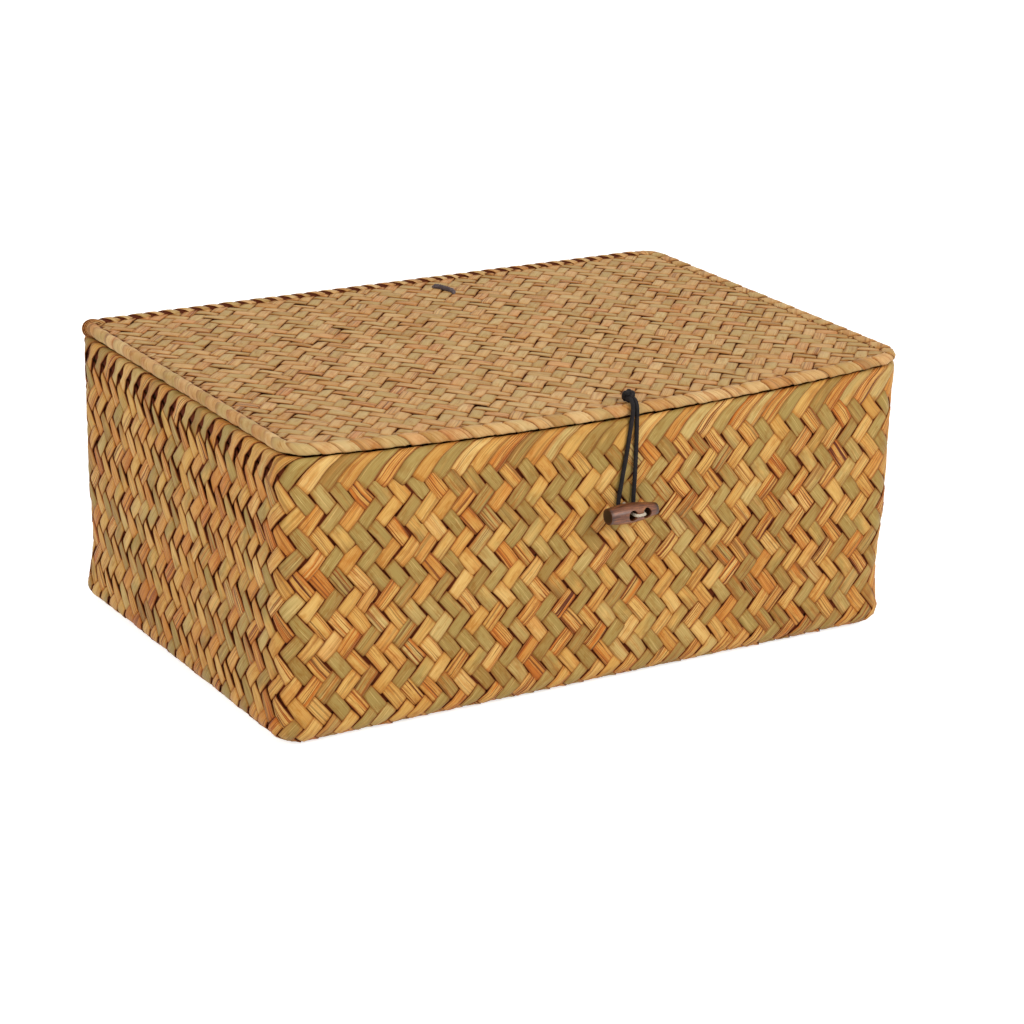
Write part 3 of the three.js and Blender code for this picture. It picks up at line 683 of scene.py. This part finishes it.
folds = StripMesh(14)
for number, (leaf_tone, leaf_streak) in enumerate(right_leaning):
    side_at = (2 * number + TOP_FLOAT + 1) * HALF_ALONG % AROUND
    fold_strip(folds, number, leaf_tone, leaf_streak, short_side(side_at))
rim_folds = folds.build("rim_folds", SEAGRASS)
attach(rim_folds, "basket")
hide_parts("rim_fold")

# %% [markdown]
# The lid's two mats. The upper one shows on top of the box, and the lower one is seen when the
# lid stands open.

# %% Lid mats
MAT_TOP, MAT_UNDER, MAT_INSET = 122.95, 120.75, 3.4
MAT_HALF_STEP = 3.58
MAT_WIDTHS = (0.96, 1.02)
MAT_STREAKS = 0.5
HIDDEN_EDGE, HIDDEN_FADE = 5.0, 1.4


def clear_of_binding(x, y):
    """One where a mat is seen, and zero where it lies under the binding, where it is painted in shade."""
    inside = np.minimum(HALF_LENGTH - np.abs(x), HALF_DEPTH - np.abs(y))
    return np.clip((inside - HIDDEN_EDGE) / HIDDEN_FADE, 0, 1)


lid_weave = plait_mat("lid_weave", 21, LID_SEAGRASS, MAT_INSET, MAT_TOP, 1, MAT_HALF_STEP, MAT_WIDTHS,
                      MAT_STREAKS, clear_of_binding)
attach(lid_weave, "lid")
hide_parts("lid_top_mat")

lid_lining = plait_mat("lid_lining", 22, LID_SEAGRASS, MAT_INSET, MAT_UNDER, -1, MAT_HALF_STEP, MAT_WIDTHS,
                       MAT_STREAKS)
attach(lid_lining, "lid")
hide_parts("lid_lining_mat")

# %% [markdown]
# The binding. Strips are wound on the slant round the lid's edge and the cane inside it. Each
# turn starts on top of the mat, runs outwards and forwards, and goes round to the underside.
# On three sides the turns are wide, and the far side of each laps over the next one. At the
# back they are narrow and raised on their near side, with painted shade on their hanging
# sides, so dark notches show between them, and a sheet painted in shade closes the gaps. At
# the back left corner a few more strips curl over each other.

# %% Sizes of the binding
BINDING_PROFILE = np.array([
    (6.5, 122.4), (5.8, 123.05), (4.8, 123.65), (3.3, 123.95), (1.8, 123.75), (0.6, 123.0), (0.1, 121.7),
    (0.35, 120.4), (1.3, 119.72), (3.4, 119.6), (5.2, 119.8), (6.4, 120.4), (7.2, 121.0)])
BINDING_STEPS = np.concatenate([[0], np.cumsum(np.hypot(*np.diff(BINDING_PROFILE, axis=0).T))])
BINDING_SLOPE = np.gradient(BINDING_PROFILE, BINDING_STEPS, axis=0)
BINDING_ROUND = float(BINDING_STEPS[-1])
WIDE_STEP, BACK_STEP = 9.6, 7.0
WIDE_TURN = {"share": 1.22, "lap": 0.34, "slant": 1.0}
BACK_TURN = {"share": 0.62, "lap": -0.45, "slant": 0.9}
CURL_TURN = {"share": 1.0, "lap": -0.3, "slant": 1.3}
BACK_START, BACK_END = KNOTS[5] - 6, KNOTS[7] - 8
CORNER_CURL = KNOTS[6]
CURL = ((3.4, 0.55, 4.2, 0.5), (3.1, 0.2, 3.3, 1.1), (2.7, 0.6, 2.4, 1.7))
RAISED_SECTION = np.array([(-0.5, -1.8), (-0.48, -0.3), (-0.46, -0.14), (-0.3, -0.03), (0.0, 0.0),
                           (0.3, -0.03), (0.46, -0.14), (0.48, -0.3), (0.5, -1.8)]).T
# Across a raised turn the level falls to zero on its hanging sides, which are painted in shade.
RAISED_LEVEL = np.array([0, 0.3, 1, 1, 1, 1, 1, 0.3, 0])
TURN_SUNK, TURN_CROWN, TURN_STRETCH, SHADE_BED_DEPTH = 0.7, 0.9, 1.4, 0.5

# %% One turn of the binding
def binding_place(around, climb, out):
    inset, height, d_inset, d_height = (np.interp(climb, BINDING_STEPS, column)
                                        for column in (*BINDING_PROFILE.T, *BINDING_SLOPE.T))
    size = np.hypot(d_inset, d_height)
    x, y = outline(around, inset + out * d_height / size)
    return settle(x, y, height - out * d_inset / size)


def binding_turn(mesh, start, tone, streak, room, share, lap, slant, bulge=0.0):
    """One turn of the winding. One side laps over its neighbour: the far one, or below zero the near one.

    A bulge lifts a turn off the edge, as at the corner where strips crowd.
    """
    climb = np.linspace(0, BINDING_ROUND, 17)
    sides, crown = SECTION if lap > 0 else RAISED_SECTION
    wide = room * share * (1 + 0.06 * mesh.noise(climb, 4))
    side = sides * wide[:, None] / math.hypot(1, slant)
    middle = start + slant * climb + 0.3 * mesh.noise(climb, 6)
    # Low where the turn starts on the mat, and the material paints shade there.
    level = np.interp(climb, [0, 1.2, 2.4], [0.35, 0.9, 1])
    lift = (level - 1) * TURN_SUNK + 0.08 * mesh.noise(climb, 5)
    lift = lift + bulge * np.sin(math.pi * climb / BINDING_ROUND) ** 2
    level = level[:, None]
    # The raised section's hanging sides are painted in shade.
    if lap < 0:
        lap = lap * np.interp(climb, (0, 0.8, 2.6, 4.4), (0.6, 1.2, 1.1, 0.2))[:, None]
        level = level * RAISED_LEVEL
    out = lift[:, None] + crown * TURN_CROWN + lap * sides * 2
    places = binding_place(middle[:, None] - side, climb[:, None] + side * slant, out)
    tones = (tone, mesh.random.random(), level, streak)
    mesh.add_strip(places, sides, climb * TURN_STRETCH, tones, flip=True)

# %% Winding the strips round the lid's edge
def painted_shade_bed(mesh):
    """A sheet under the turns, painted all in shade, so that no light passes between them."""
    climb = np.linspace(0, BINDING_ROUND, 12)
    around = np.linspace(0, AROUND, 241)
    grid_around, grid_climb = np.meshgrid(around, climb, indexing="ij")
    places = binding_place(grid_around, grid_climb, np.full(grid_climb.shape, -SHADE_BED_DEPTH))
    # Level zero paints the whole sheet in the gap shade colour.
    mesh.add(places, grid_climb / BINDING_ROUND, grid_around * MM, (0.5, 0.5, 0.0, 0.0), flip=True)


def winding_starts(random):
    """Places where a turn starts: wide turns on three sides and narrow ones along the back."""
    starts, at = [], 0.0
    while at < AROUND - BACK_STEP / 2:
        starts.append(at)
        step = BACK_STEP if BACK_START < at < BACK_END else WIDE_STEP
        at += step * random.uniform(0.88, 1.12)
    return starts


winding = StripMesh(23)
painted_shade_bed(winding)
starts = winding_starts(winding.random)
for number, (start, next_start) in enumerate(zip(starts, [*starts[1:], AROUND])):
    leaf_tone, leaf_streak = pick_leaf(winding.random, number)
    kind = BACK_TURN if BACK_START < start < BACK_END else WIDE_TURN
    binding_turn(winding, start, 0.15 + 0.6 * leaf_tone, leaf_streak * 0.5, next_start - start, **kind)
for start, tone, width, bulge in CURL:
    binding_turn(winding, CORNER_CURL + start, tone, 0.1, width, **CURL_TURN, bulge=bulge)
lid_binding = winding.build("lid_binding", LID_SEAGRASS)
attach(lid_binding, "lid")
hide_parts("lid_rim_binding")

# %% [markdown]
# Cords. A cord is a tube that follows a smooth curve. Its surface is moved in and out, so a
# braid shows its diamonds and a twisted thread its strands, and both catch the light as real
# ones do. The paths repeat the routes of the fixed model.

# %% A smooth path
def smooth_path(points, count):
    """Places at equal steps on a curve through the points, as a centripetal Catmull-Rom."""
    p = np.array(points, float)
    p = np.vstack([2 * p[0] - p[1], p, 2 * p[-1] - p[-2]])
    fine = []
    for a, b, c, d in zip(p[:-3], p[1:-2], p[2:-1], p[3:]):
        k1 = np.sqrt(np.linalg.norm(b - a))
        k2 = k1 + np.sqrt(np.linalg.norm(c - b))
        k3 = k2 + np.sqrt(np.linalg.norm(d - c))
        t = np.linspace(k1, k2, 13)[:-1, None]
        ab = a + (b - a) * t / k1
        bc = b + (c - b) * (t - k1) / (k2 - k1)
        cd = c + (d - c) * (t - k2) / (k3 - k2)
        abc = ab + (bc - ab) * t / k2
        bcd = bc + (cd - bc) * (t - k1) / (k3 - k1)
        fine.append(abc + (bcd - abc) * (t - k1) / (k2 - k1))
    fine = np.vstack([*fine, p[-2]])
    steps = np.concatenate([[0], np.cumsum(np.linalg.norm(np.diff(fine, axis=0), axis=1))])
    even = np.linspace(0, steps[-1], count)
    return np.stack([np.interp(even, steps, fine[:, k]) for k in range(3)], axis=1), float(steps[-1])

# %% A tube along a path
def tube(name, path, radius, sides, surface, material, closed=False):
    """A tube along evenly spaced places. surface(angle, distance) gives its radius as a share."""
    count = len(path)
    tangent = np.roll(path, -1, 0) - np.roll(path, 1, 0) if closed else np.gradient(path, axis=0)
    tangent /= np.linalg.norm(tangent, axis=1)[:, None]
    side = np.cross(tangent[0], [0.31, 0.52, 0.79])
    side /= np.linalg.norm(side)
    carried = []
    for direction in tangent:
        side = side - direction * (side @ direction)
        side /= np.linalg.norm(side)
        carried.append(side)
    across = np.array(carried)
    other = np.cross(tangent, across)
    step = np.linalg.norm(np.diff(path, axis=0), axis=1).mean()
    angle = np.linspace(0, 2 * math.pi, sides, endpoint=False)
    distance = np.arange(count) * step
    reach = radius * surface(angle[None, :], distance[:, None])
    if not closed:
        from_end = np.minimum(np.arange(count), np.arange(count)[::-1])
        reach = reach * np.clip(from_end + 0.35, 0, 1)[:, None] ** 0.5
    spokes = np.cos(angle)[:, None] * across[:, None] + np.sin(angle)[:, None] * other[:, None]
    points = (path[:, None] + reach[..., None] * spokes).reshape(-1, 3)

    index = np.arange(count * sides).reshape(count, sides)
    ahead = np.roll(index, -1, axis=0) if closed else index[1:]
    here = index if closed else index[:-1]
    quads = np.stack([here, np.roll(here, -1, axis=1), np.roll(ahead, -1, axis=1), ahead], axis=-1)
    faces = quads.reshape(-1, 4).tolist()
    if not closed:
        faces += [index[0, ::-1].tolist(), index[-1].tolist()]
    uvs = np.stack(np.broadcast_arrays(angle[None, :] / (2 * math.pi), distance[:, None] * MM), axis=-1)
    return new_piece(name, points, faces, uvs.reshape(-1, 2), material)

# %% Braided and twisted surfaces
def braid(pitch, depth):
    def surface(angle, distance):
        one = np.abs(np.sin(2 * angle + math.pi * distance / pitch))
        two = np.abs(np.sin(2 * angle - math.pi * distance / pitch))
        return 1 - depth + depth * np.maximum(one, two)
    return surface


def twist(strands, pitch, depth):
    def surface(angle, distance):
        return 1 - depth + depth * np.abs(np.cos(strands / 2 * (angle - 2 * math.pi * distance / pitch)))
    return surface


# %% Cord materials
def cord_material(name, dark, light, roughness, scale):
    material, tree, shader = new_material(name, roughness, 0.2)
    uv = add_node(tree, "UVMap", uv_map="strip").outputs[0]
    fine = noise(stretched(uv, (22, 2600, 1)), 1.0, 2.0, 0.6)
    worn = noise(add_node(tree, "TexCoord").outputs["Object"], scale, 2.0, 0.5)
    share = times(smooth_step(fine, 0.42, 0.7), smooth_step(worn, 0.25, 0.75))
    set_inputs(shader, {"Base Color": mix_colours(share, dark, light), "Normal": bumped(fine, 0.5, 0.0001)})
    return material


BLACK_CORD = cord_material("black braided cord", rgb(22, 19, 20), rgb(62, 54, 54), 0.8, 260)
GREY_CORD = cord_material("grey twisted cord", rgb(80, 69, 70), rgb(146, 131, 130), 0.85, 260)
CREAM_THREAD = cord_material("cream thread", rgb(184, 170, 148), rgb(238, 230, 212), 0.85, 400)
BRAIDED = braid(1.5, 0.16)

# %% [markdown]
# The loop. One doubled cord leaves the knot on the lid, goes over the front edge, hangs down
# behind the toggle, turns round the thread that holds the toggle, and goes back up. It lies
# on the wall. Seen from the side, it goes up as it came down, so one row of places serves
# both ways.

# %% The loop
LOOP_SIDE = ((-92.7, 121.6), (-94.6, 121.5), (-96.7, 121.3), (-98.75, 120.1), (-99.3, 118.4),
             (-99.3, 115.5), (-99.2, 110), (-99.0, 102), (-98.7, 94), (-98.4, 87), (-98.2, 82.2),
             (-98.2, 79), (-98.2, 76.2), (-98.2, 74.6))
LOOP_FOOT = (-98.2, 74.1)
LOOP_ACROSS = (7.2, 6.9, 6.1, 5.3, 5.0, 4.75, 4.2, 3.4, 2.4, 1.6, 1.1, 0.95, 1.5, 3.0, 4.6,
               6.3, 7.7, 8.2, 8.15, 8.1, 7.95, 7.7, 7.4, 7.1, 7.0, 7.15, 7.9, 8.6, 9.0)
LOOP_ROUTE = [(x, y, z) for x, (y, z) in zip(LOOP_ACROSS, (*LOOP_SIDE, LOOP_FOOT, *LOOP_SIDE[::-1]))]
LOOP_DIAMETER = 1.8
loop_path, loop_length = smooth_path(LOOP_ROUTE, 330)
print("the loop is", round(loop_length, 1), "mm long")
loop = tube("loop", loop_path, LOOP_DIAMETER / 2, 16, BRAIDED, BLACK_CORD)
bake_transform(loop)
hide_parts("loop_cord")

# %% [markdown]
# Knots. Each knot is the same cord pulled tight: a short tube along a closed three-lobed
# curve, flattened until its turns press on each other. It could be a lump with a bump
# pattern, but the turns are what makes it read as a knot up close.

# %% Shape of a knot
# The sizes of a knot are its reach across, its reach along its axis and its cord's radius.
LID_KNOT, STOP_KNOT = (2.95, 2.5, 1.15), (2.5, 1.25, 0.8)
TIE_KNOT, THREAD_KNOT = (2.1, 1.3, 0.75), (2.8, 1.3, 0.8)
KNOT_START, CURVE_REACH, KNOT_TWIST = 0.4, 2.85, twist(2, 3, 0.2)


def knot_piece(name, middle, sizes, axis, surface, material):
    across, high, radius = sizes
    t = np.linspace(0, 2 * math.pi, 91)[:-1] + KNOT_START
    curve = np.stack([np.sin(t) + 2 * np.sin(2 * t), np.cos(t) - 2 * np.cos(2 * t), -np.sin(3 * t)], 1)
    curve[:, :2] *= (across - radius) / CURVE_REACH
    curve[:, 2] *= high - radius
    if axis == "y":
        curve = curve[:, [0, 2, 1]]
    return tube(name, curve + np.array(middle), radius, 12, surface, material, closed=True)


def corners_of(node):
    """The lowest and the highest corner of a solid's box, in millimetres."""
    return (np.array(corner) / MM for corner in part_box(node))


def middle_of(node):
    low, high = corners_of(node)
    return (low + high) / 2

# %% The knots
loop_knot = knot_piece("lid_knot", (8.1, -91.5, 122.1), LID_KNOT, "z", BRAIDED, BLACK_CORD)
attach(loop_knot, "lid")
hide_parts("loop_knot")

loop_stop = knot_piece("lid_stop_knot", middle_of("loop_stop_knot"), STOP_KNOT, "z", BRAIDED, BLACK_CORD)
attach(loop_stop, "lid")
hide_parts("loop_stop_knot")

hinge_knot = knot_piece("lid_tie_knot", middle_of("hinge_lid_knot"), TIE_KNOT, "z", KNOT_TWIST, GREY_CORD)
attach(hinge_knot, "lid")
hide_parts("hinge_lid_knot")

wall_knot = knot_piece("wall_tie_knot", middle_of("hinge_wall_knot"), TIE_KNOT, "y", KNOT_TWIST, GREY_CORD)
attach(wall_knot, "basket")
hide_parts("hinge_wall_knot")

thread_knot = knot_piece("toggle_inner_knot", middle_of("toggle_knot"), THREAD_KNOT, "y",
                         twist(2, 2.4, 0.22), CREAM_THREAD)
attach(thread_knot, "basket")
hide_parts("toggle_knot")

# %% [markdown]
# The tie at the back is one dark twisted cord in three stretches: a stitch over the lid, a
# slack run inside, and a stitch down the outside of the back wall.

# %% Stitches of the tie
TIE_ACROSS = 20.0
TIE_RADIUS = 0.8
TIE_TWIST = twist(3, 4.2, 0.22)
STITCH_SUNK, STITCH_SLANT, STITCH_RADIUS = 0.4, 1.8, 1.15
STITCH_SHARES = (1, 1, 0.9, 0.6, -0.6, -0.9, -1, -1)


def tie_piece(name, count, radius, route, slants=None):
    """A stretch of the tie, as places back and up. Slants move these sideways, one by one."""
    across = [TIE_ACROSS + STITCH_SLANT * slant for slant in slants or [0] * len(route)]
    path, length = smooth_path([(x, y, z) for x, (y, z) in zip(across, route)], count)
    print(name, "is", round(length, 1), "mm long")
    return tube(name, path, radius, 14, TIE_TWIST, GREY_CORD)


low, high = corners_of("hinge_lid_stitch")
front_leg, back_leg, foot = low[1] + TIE_RADIUS, high[1] - TIE_RADIUS, low[2] + 0.2
bar = high[2] - TIE_RADIUS - STITCH_SUNK
lid_stitch = tie_piece("lid_tie_stitch", 90, STITCH_RADIUS, (
    (front_leg, foot), (front_leg + 0.8, bar - 1.5), (front_leg + 1.3, bar - 0.35), (front_leg + 2.3, bar),
    (back_leg - 1.8, bar), (back_leg - 0.7, bar - 0.35), (back_leg - 0.1, bar - 1.5), (back_leg, foot)),
    STITCH_SHARES)
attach(lid_stitch, "lid")
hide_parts("hinge_lid_stitch")

low, high = corners_of("hinge_wall_stitch")
lower, upper, outside = low[2] + TIE_RADIUS, high[2] - TIE_RADIUS, high[1] - TIE_RADIUS
wall_stitch = tie_piece("wall_tie_stitch", 90, TIE_RADIUS, (
    (low[1], upper), (outside - 2.3, upper), (outside - 0.45, upper - 0.45), (outside, upper - 1.7),
    (outside, lower + 1.7), (outside - 0.45, lower + 0.45), (outside - 2.3, lower), (outside - 4.2, lower)))
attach(wall_stitch, "basket")
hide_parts("hinge_wall_stitch")

# %% Slack run of the tie
low, high = corners_of("hinge_link")
link_run = high[1] - low[1] - TIE_RADIUS
lid_end_y, wall_end_z = low[1] + TIE_RADIUS, 112.5
LINK_LOW, LINK_DROP = 106.0, 6.5
LINK_SHARES = ((0.04, 0.55), (0.13, 0.2), (0.3, 0.02), (0.5, 0.03), (0.64, 0.22), (0.72, 0.6))
tie_link = tie_piece("tie_link", 100, TIE_RADIUS, (
    (lid_end_y, high[2]), (lid_end_y, high[2] - 1.6),
    *((lid_end_y + link_run * a, LINK_LOW + LINK_DROP * b) for a, b in LINK_SHARES),
    (high[1] - 1.6, wall_end_z), (high[1], wall_end_z)))
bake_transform(tie_link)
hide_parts("hinge_link")

# %% [markdown]
# The toggle is a small turned barrel of reddish wood with two drilled holes. A cylinder is
# divided along its length, drawn out to a barrel, drilled with two booleans, and its edges
# are eased by a bevel.

# %% Toggle wood
def toggle_material():
    """Reddish wood with darker pores and ends, and painted shade inside its holes."""
    material, tree, shader = new_material("toggle wood", 0.42, 0.5)
    place = add_node(tree, "TexCoord").outputs["Object"]
    grain = noise(stretched(place, (90, 900, 900)), 1.0, 4.0, 0.6)
    pores = noise(stretched(place, (500, 3000, 3000)), 1.0, 2.0, 0.6)
    ramp = add_node(tree, "ValToRGB", {0: grain})
    stops = ramp.color_ramp.elements
    stops[0].position, stops[0].color = 0.3, rgb(62, 31, 18)
    stops[1].position, stops[1].color = 0.74, rgb(164, 104, 60)
    stops.new(0.52).color = rgb(114, 65, 38)
    x, y, z = add_node(tree, "SeparateXYZ", {0: place}).outputs
    from_middle = maths("ABSOLUTE", minus(x, TOGGLE_GRAIN_MIDDLE))
    off_y, off_z = minus(y, toggle_middle.y), minus(z, toggle_middle.z)
    from_axis = maths("SQRT", plus(times(off_y, off_y), times(off_z, off_z)))
    shade = ramp.outputs[0]
    # Darker pores, darker end grain, and painted shade inside the drilled holes: near the barrel's axis the
    # wood is painted almost black, which also darkens the thin end and the middle of each end face.
    for value, start, full, share, dark in ((pores, 0.56, 0.72, 0.7, rgb(38, 18, 10)),
                                            (from_middle, 0.0098, 0.0113, 0.75, rgb(52, 28, 18)),
                                            (from_axis, 0.0030, 0.0022, 0.85, rgb(24, 12, 8))):
        shade = mix_colours(times(smooth_step(value, start, full), share), shade, dark)
    set_inputs(shader, {"Base Color": shade, "Roughness": plus(times(grain, 0.25), 0.28),
                        "Normal": bumped(pores, 0.3, 0.0001)})
    return material


toggle_low, toggle_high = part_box("toggle")
toggle_middle = (toggle_low + toggle_high) / 2
TOGGLE_GRAIN_MIDDLE = 0.0027
TOGGLE_WOOD = toggle_material()

# %% Toggle barrel
TOGGLE_LENGTH, TOGGLE_START_RADIUS = 0.023, 0.003
HOLE_RADIUS, HOLE_PLACES = 0.0022, (0.00105, 0.00795)
TOGGLE_SHAPE = ((-1, 0.0033), (-0.55, 0.004), (-0.15, 0.0042), (0.3, 0.0038), (0.7, 0.0031), (1, 0.0025))


def deselect():
    bpy.ops.object.select_all(action="DESELECT")


def pick_only(piece):
    deselect()
    piece.select_set(True)
    bpy.context.view_layer.objects.active = piece


deselect()
bpy.ops.mesh.primitive_cylinder_add(vertices=48, radius=TOGGLE_START_RADIUS, depth=TOGGLE_LENGTH,
                                    location=toggle_middle, rotation=(0, QUARTER, 0))
toggle = bpy.context.object
toggle.name = "toggle_barrel"
bpy.ops.object.mode_set(mode="EDIT")
bpy.ops.mesh.select_mode(type="EDGE")
bpy.ops.mesh.select_all(action="DESELECT")
bpy.ops.object.mode_set(mode="OBJECT")
for edge in toggle.data.edges:
    ends = [toggle.data.vertices[i].co for i in edge.vertices]
    edge.select = abs(ends[0].z - ends[1].z) > TOGGLE_LENGTH / 2
bpy.ops.object.mode_set(mode="EDIT")
bpy.ops.mesh.subdivide(number_cuts=17)
bpy.ops.object.mode_set(mode="OBJECT")
pick_only(toggle)
bpy.ops.object.transform_apply(location=True, rotation=True, scale=True)
for vertex in toggle.data.vertices:
    offset = vertex.co - toggle_middle
    size = np.interp(offset.x / (TOGGLE_LENGTH / 2), *zip(*TOGGLE_SHAPE))
    flat = math.hypot(offset.y, offset.z)
    if flat > 1e-6:
        vertex.co.y = toggle_middle.y + offset.y / flat * size
        vertex.co.z = toggle_middle.z + offset.z / flat * size

# %% Toggle holes and eased edges
for hole_x in HOLE_PLACES:
    deselect()
    hole_place = (hole_x, toggle_middle.y, toggle_middle.z)
    bpy.ops.mesh.primitive_cylinder_add(vertices=32, radius=HOLE_RADIUS, depth=0.02,
                                        location=hole_place, rotation=(QUARTER, 0, 0))
    drill = bpy.context.object
    cut = toggle.modifiers.new("hole", "BOOLEAN")
    cut.operation, cut.object, cut.solver = "DIFFERENCE", drill, "EXACT"
    pick_only(toggle)
    bpy.ops.object.modifier_apply(modifier=cut.name)
    bpy.data.objects.remove(drill)
eased = toggle.modifiers.new("eased edges", "BEVEL")
eased.width, eased.segments = 0.0004, 3
eased.limit_method, eased.angle_limit = "ANGLE", math.radians(40)
bpy.ops.object.modifier_apply(modifier=eased.name)
bpy.ops.object.shade_smooth_by_angle(angle=math.radians(35))
toggle.data.materials.append(TOGGLE_WOOD)
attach(toggle, "toggle")
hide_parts("toggle")
print("the toggle has", len(toggle.data.polygons), "faces")

# %% [markdown]
# The thread through the toggle's holes is a closed ring of twisted cotton: its front bar shows
# between the holes, and its back bar is held by a short shank that goes through the wall.

# %% Thread
THREAD_RADIUS = 0.65
SIDE_ROOM = 1.9
low, high = corners_of("toggle_thread")
left, right = low[0] + SIDE_ROOM, high[0] - SIDE_ROOM
front, back, level_z = toggle_low[1] / MM - 0.15, high[1] - 0.7, (low[2] + high[2]) / 2
ring_route = [(x, y, level_z) for x, y in (
    (left, back - 1.2), (left, front + 1.4), (left + 0.5, front + 0.15), ((left + right) / 2, front),
    (right - 0.5, front + 0.3), (right, front + 1.6), (right, back - 1.2), (right - 1.0, back),
    (left + 1.0, back), (left, back - 1.2))]
ring_path = smooth_path(ring_route, 141)[0][:-1]
toggle_thread = tube("toggle_stitch", ring_path, THREAD_RADIUS, 12, twist(2, 2.6, 0.22),
                     CREAM_THREAD, closed=True)
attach(toggle_thread, "toggle")
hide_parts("toggle_thread")

# %% Shank
low, high = corners_of("toggle_shank")
shank_x, shank_z = (low[0] + high[0]) / 2, (low[2] + high[2]) / 2
shank_route = [(shank_x, y, shank_z) for y in np.linspace(low[1], high[1], 5)]
shank_path, _ = smooth_path(shank_route, 40)
shank = tube("toggle_tether", shank_path, 1.45, 16, twist(2, 3.4, 0.25), CREAM_THREAD)
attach(shank, "basket")
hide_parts("toggle_shank")

# %% [markdown]
# The cane in the lid's edge lies under the binding and has the right shape already. It keeps
# its solid and gets the finish of split cane.

# %% Cane
def cane_material():
    material, tree, shader = new_material("split cane", 0.45, 0.4)
    place = add_node(tree, "TexCoord").outputs["Object"]
    fine = noise(place, 900, 3.0, 0.6)
    shade = mix_colours(smooth_step(fine, 0.35, 0.7), rgb(150, 108, 58), rgb(196, 152, 92))
    shade = mix_colours(times(noise(place, 60, 2.0, 0.5), 0.5), shade, rgb(128, 88, 44))
    set_inputs(shader, {"Base Color": shade, "Normal": bumped(fine, 0.3, 0.0002)})
    return material


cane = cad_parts["lid_rim_core"]
cane.data.materials.clear()
cane.data.materials.append(cane_material())
print(cane.name, "keeps its", len(cane.data.polygons), "faces")

# %% [markdown]
# Floor, backdrop and light. The picture has a plain white ground. The floor is white enough
# to vanish into the backdrop, and still darkens a little where the box stands. Three broad
# lamps and an even sky light the box at a plain level, brightest on the long front side.

# %% Floor and sky
WHITE = (1, 1, 1, 1)


def seen_directly(tree):
    """One for rays from the camera, from a mirror or through glass, and zero for light that only falls."""
    rays = add_node(tree, "LightPath").outputs
    reflected = maths("MAXIMUM", rays["Is Glossy Ray"], rays["Is Transmission Ray"])
    return maths("MAXIMUM", rays["Is Camera Ray"], reflected)


def floor_material():
    material, tree, shader = new_material("white floor", 0.9, 0.1)
    set_inputs(shader, {"Base Color": (0.86, 0.86, 0.86, 1)})
    glow = add_node(tree, "Emission", {"Color": WHITE, "Strength": times(seen_directly(tree), 0.72)})
    both = add_node(tree, "AddShader", {0: shader.outputs[0], 1: glow.outputs[0]})
    set_inputs(tree.nodes["Material Output"], {"Surface": both.outputs[0]})
    return material


deselect()
bpy.ops.mesh.primitive_plane_add(size=12, location=(0, 0, -0.0004))
floor = bpy.context.object
floor.name = "floor"
floor.data.materials.append(floor_material())
floor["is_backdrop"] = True
print("the floor is", floor.dimensions.x, "m wide")

world = bpy.data.worlds.new("even sky")
bpy.context.scene.world = world
world.use_nodes = True
sky_strength = plus(times(seen_directly(world.node_tree), 0.6), 0.4)
set_inputs(world.node_tree.nodes["Background"], {"Color": WHITE, "Strength": sky_strength})

# %% Lamps
BOX_MIDDLE = Vector((0, 0, 0.06))


def add_lamp(name, place, size, power):
    bpy.ops.object.light_add(type="AREA", location=place)
    lamp = bpy.context.object
    lamp.name = name
    lamp.data.shape = "DISK"
    lamp.data.size = size
    lamp.data.energy = power
    print(name, "shines with", power, "watts")
    lamp.rotation_euler = (BOX_MIDDLE - Vector(place)).to_track_quat("-Z", "Y").to_euler()


add_lamp("main_light", (0.55, -1.5, 1.05), 0.7, 16)
add_lamp("left_light", (-1.5, -0.7, 0.9), 1.0, 11)
add_lamp("top_light", (-0.1, 0.5, 1.7), 1.2, 5)

view_settings = bpy.context.scene.view_settings
view_settings.view_transform = "Standard"

visual_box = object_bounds()
for axis_name, low, high, seen_low, seen_high in zip("xyz", *solid_box, *visual_box):
    print(axis_name, [round(v * 1000, 1) for v in (low, high, seen_low, seen_high)])
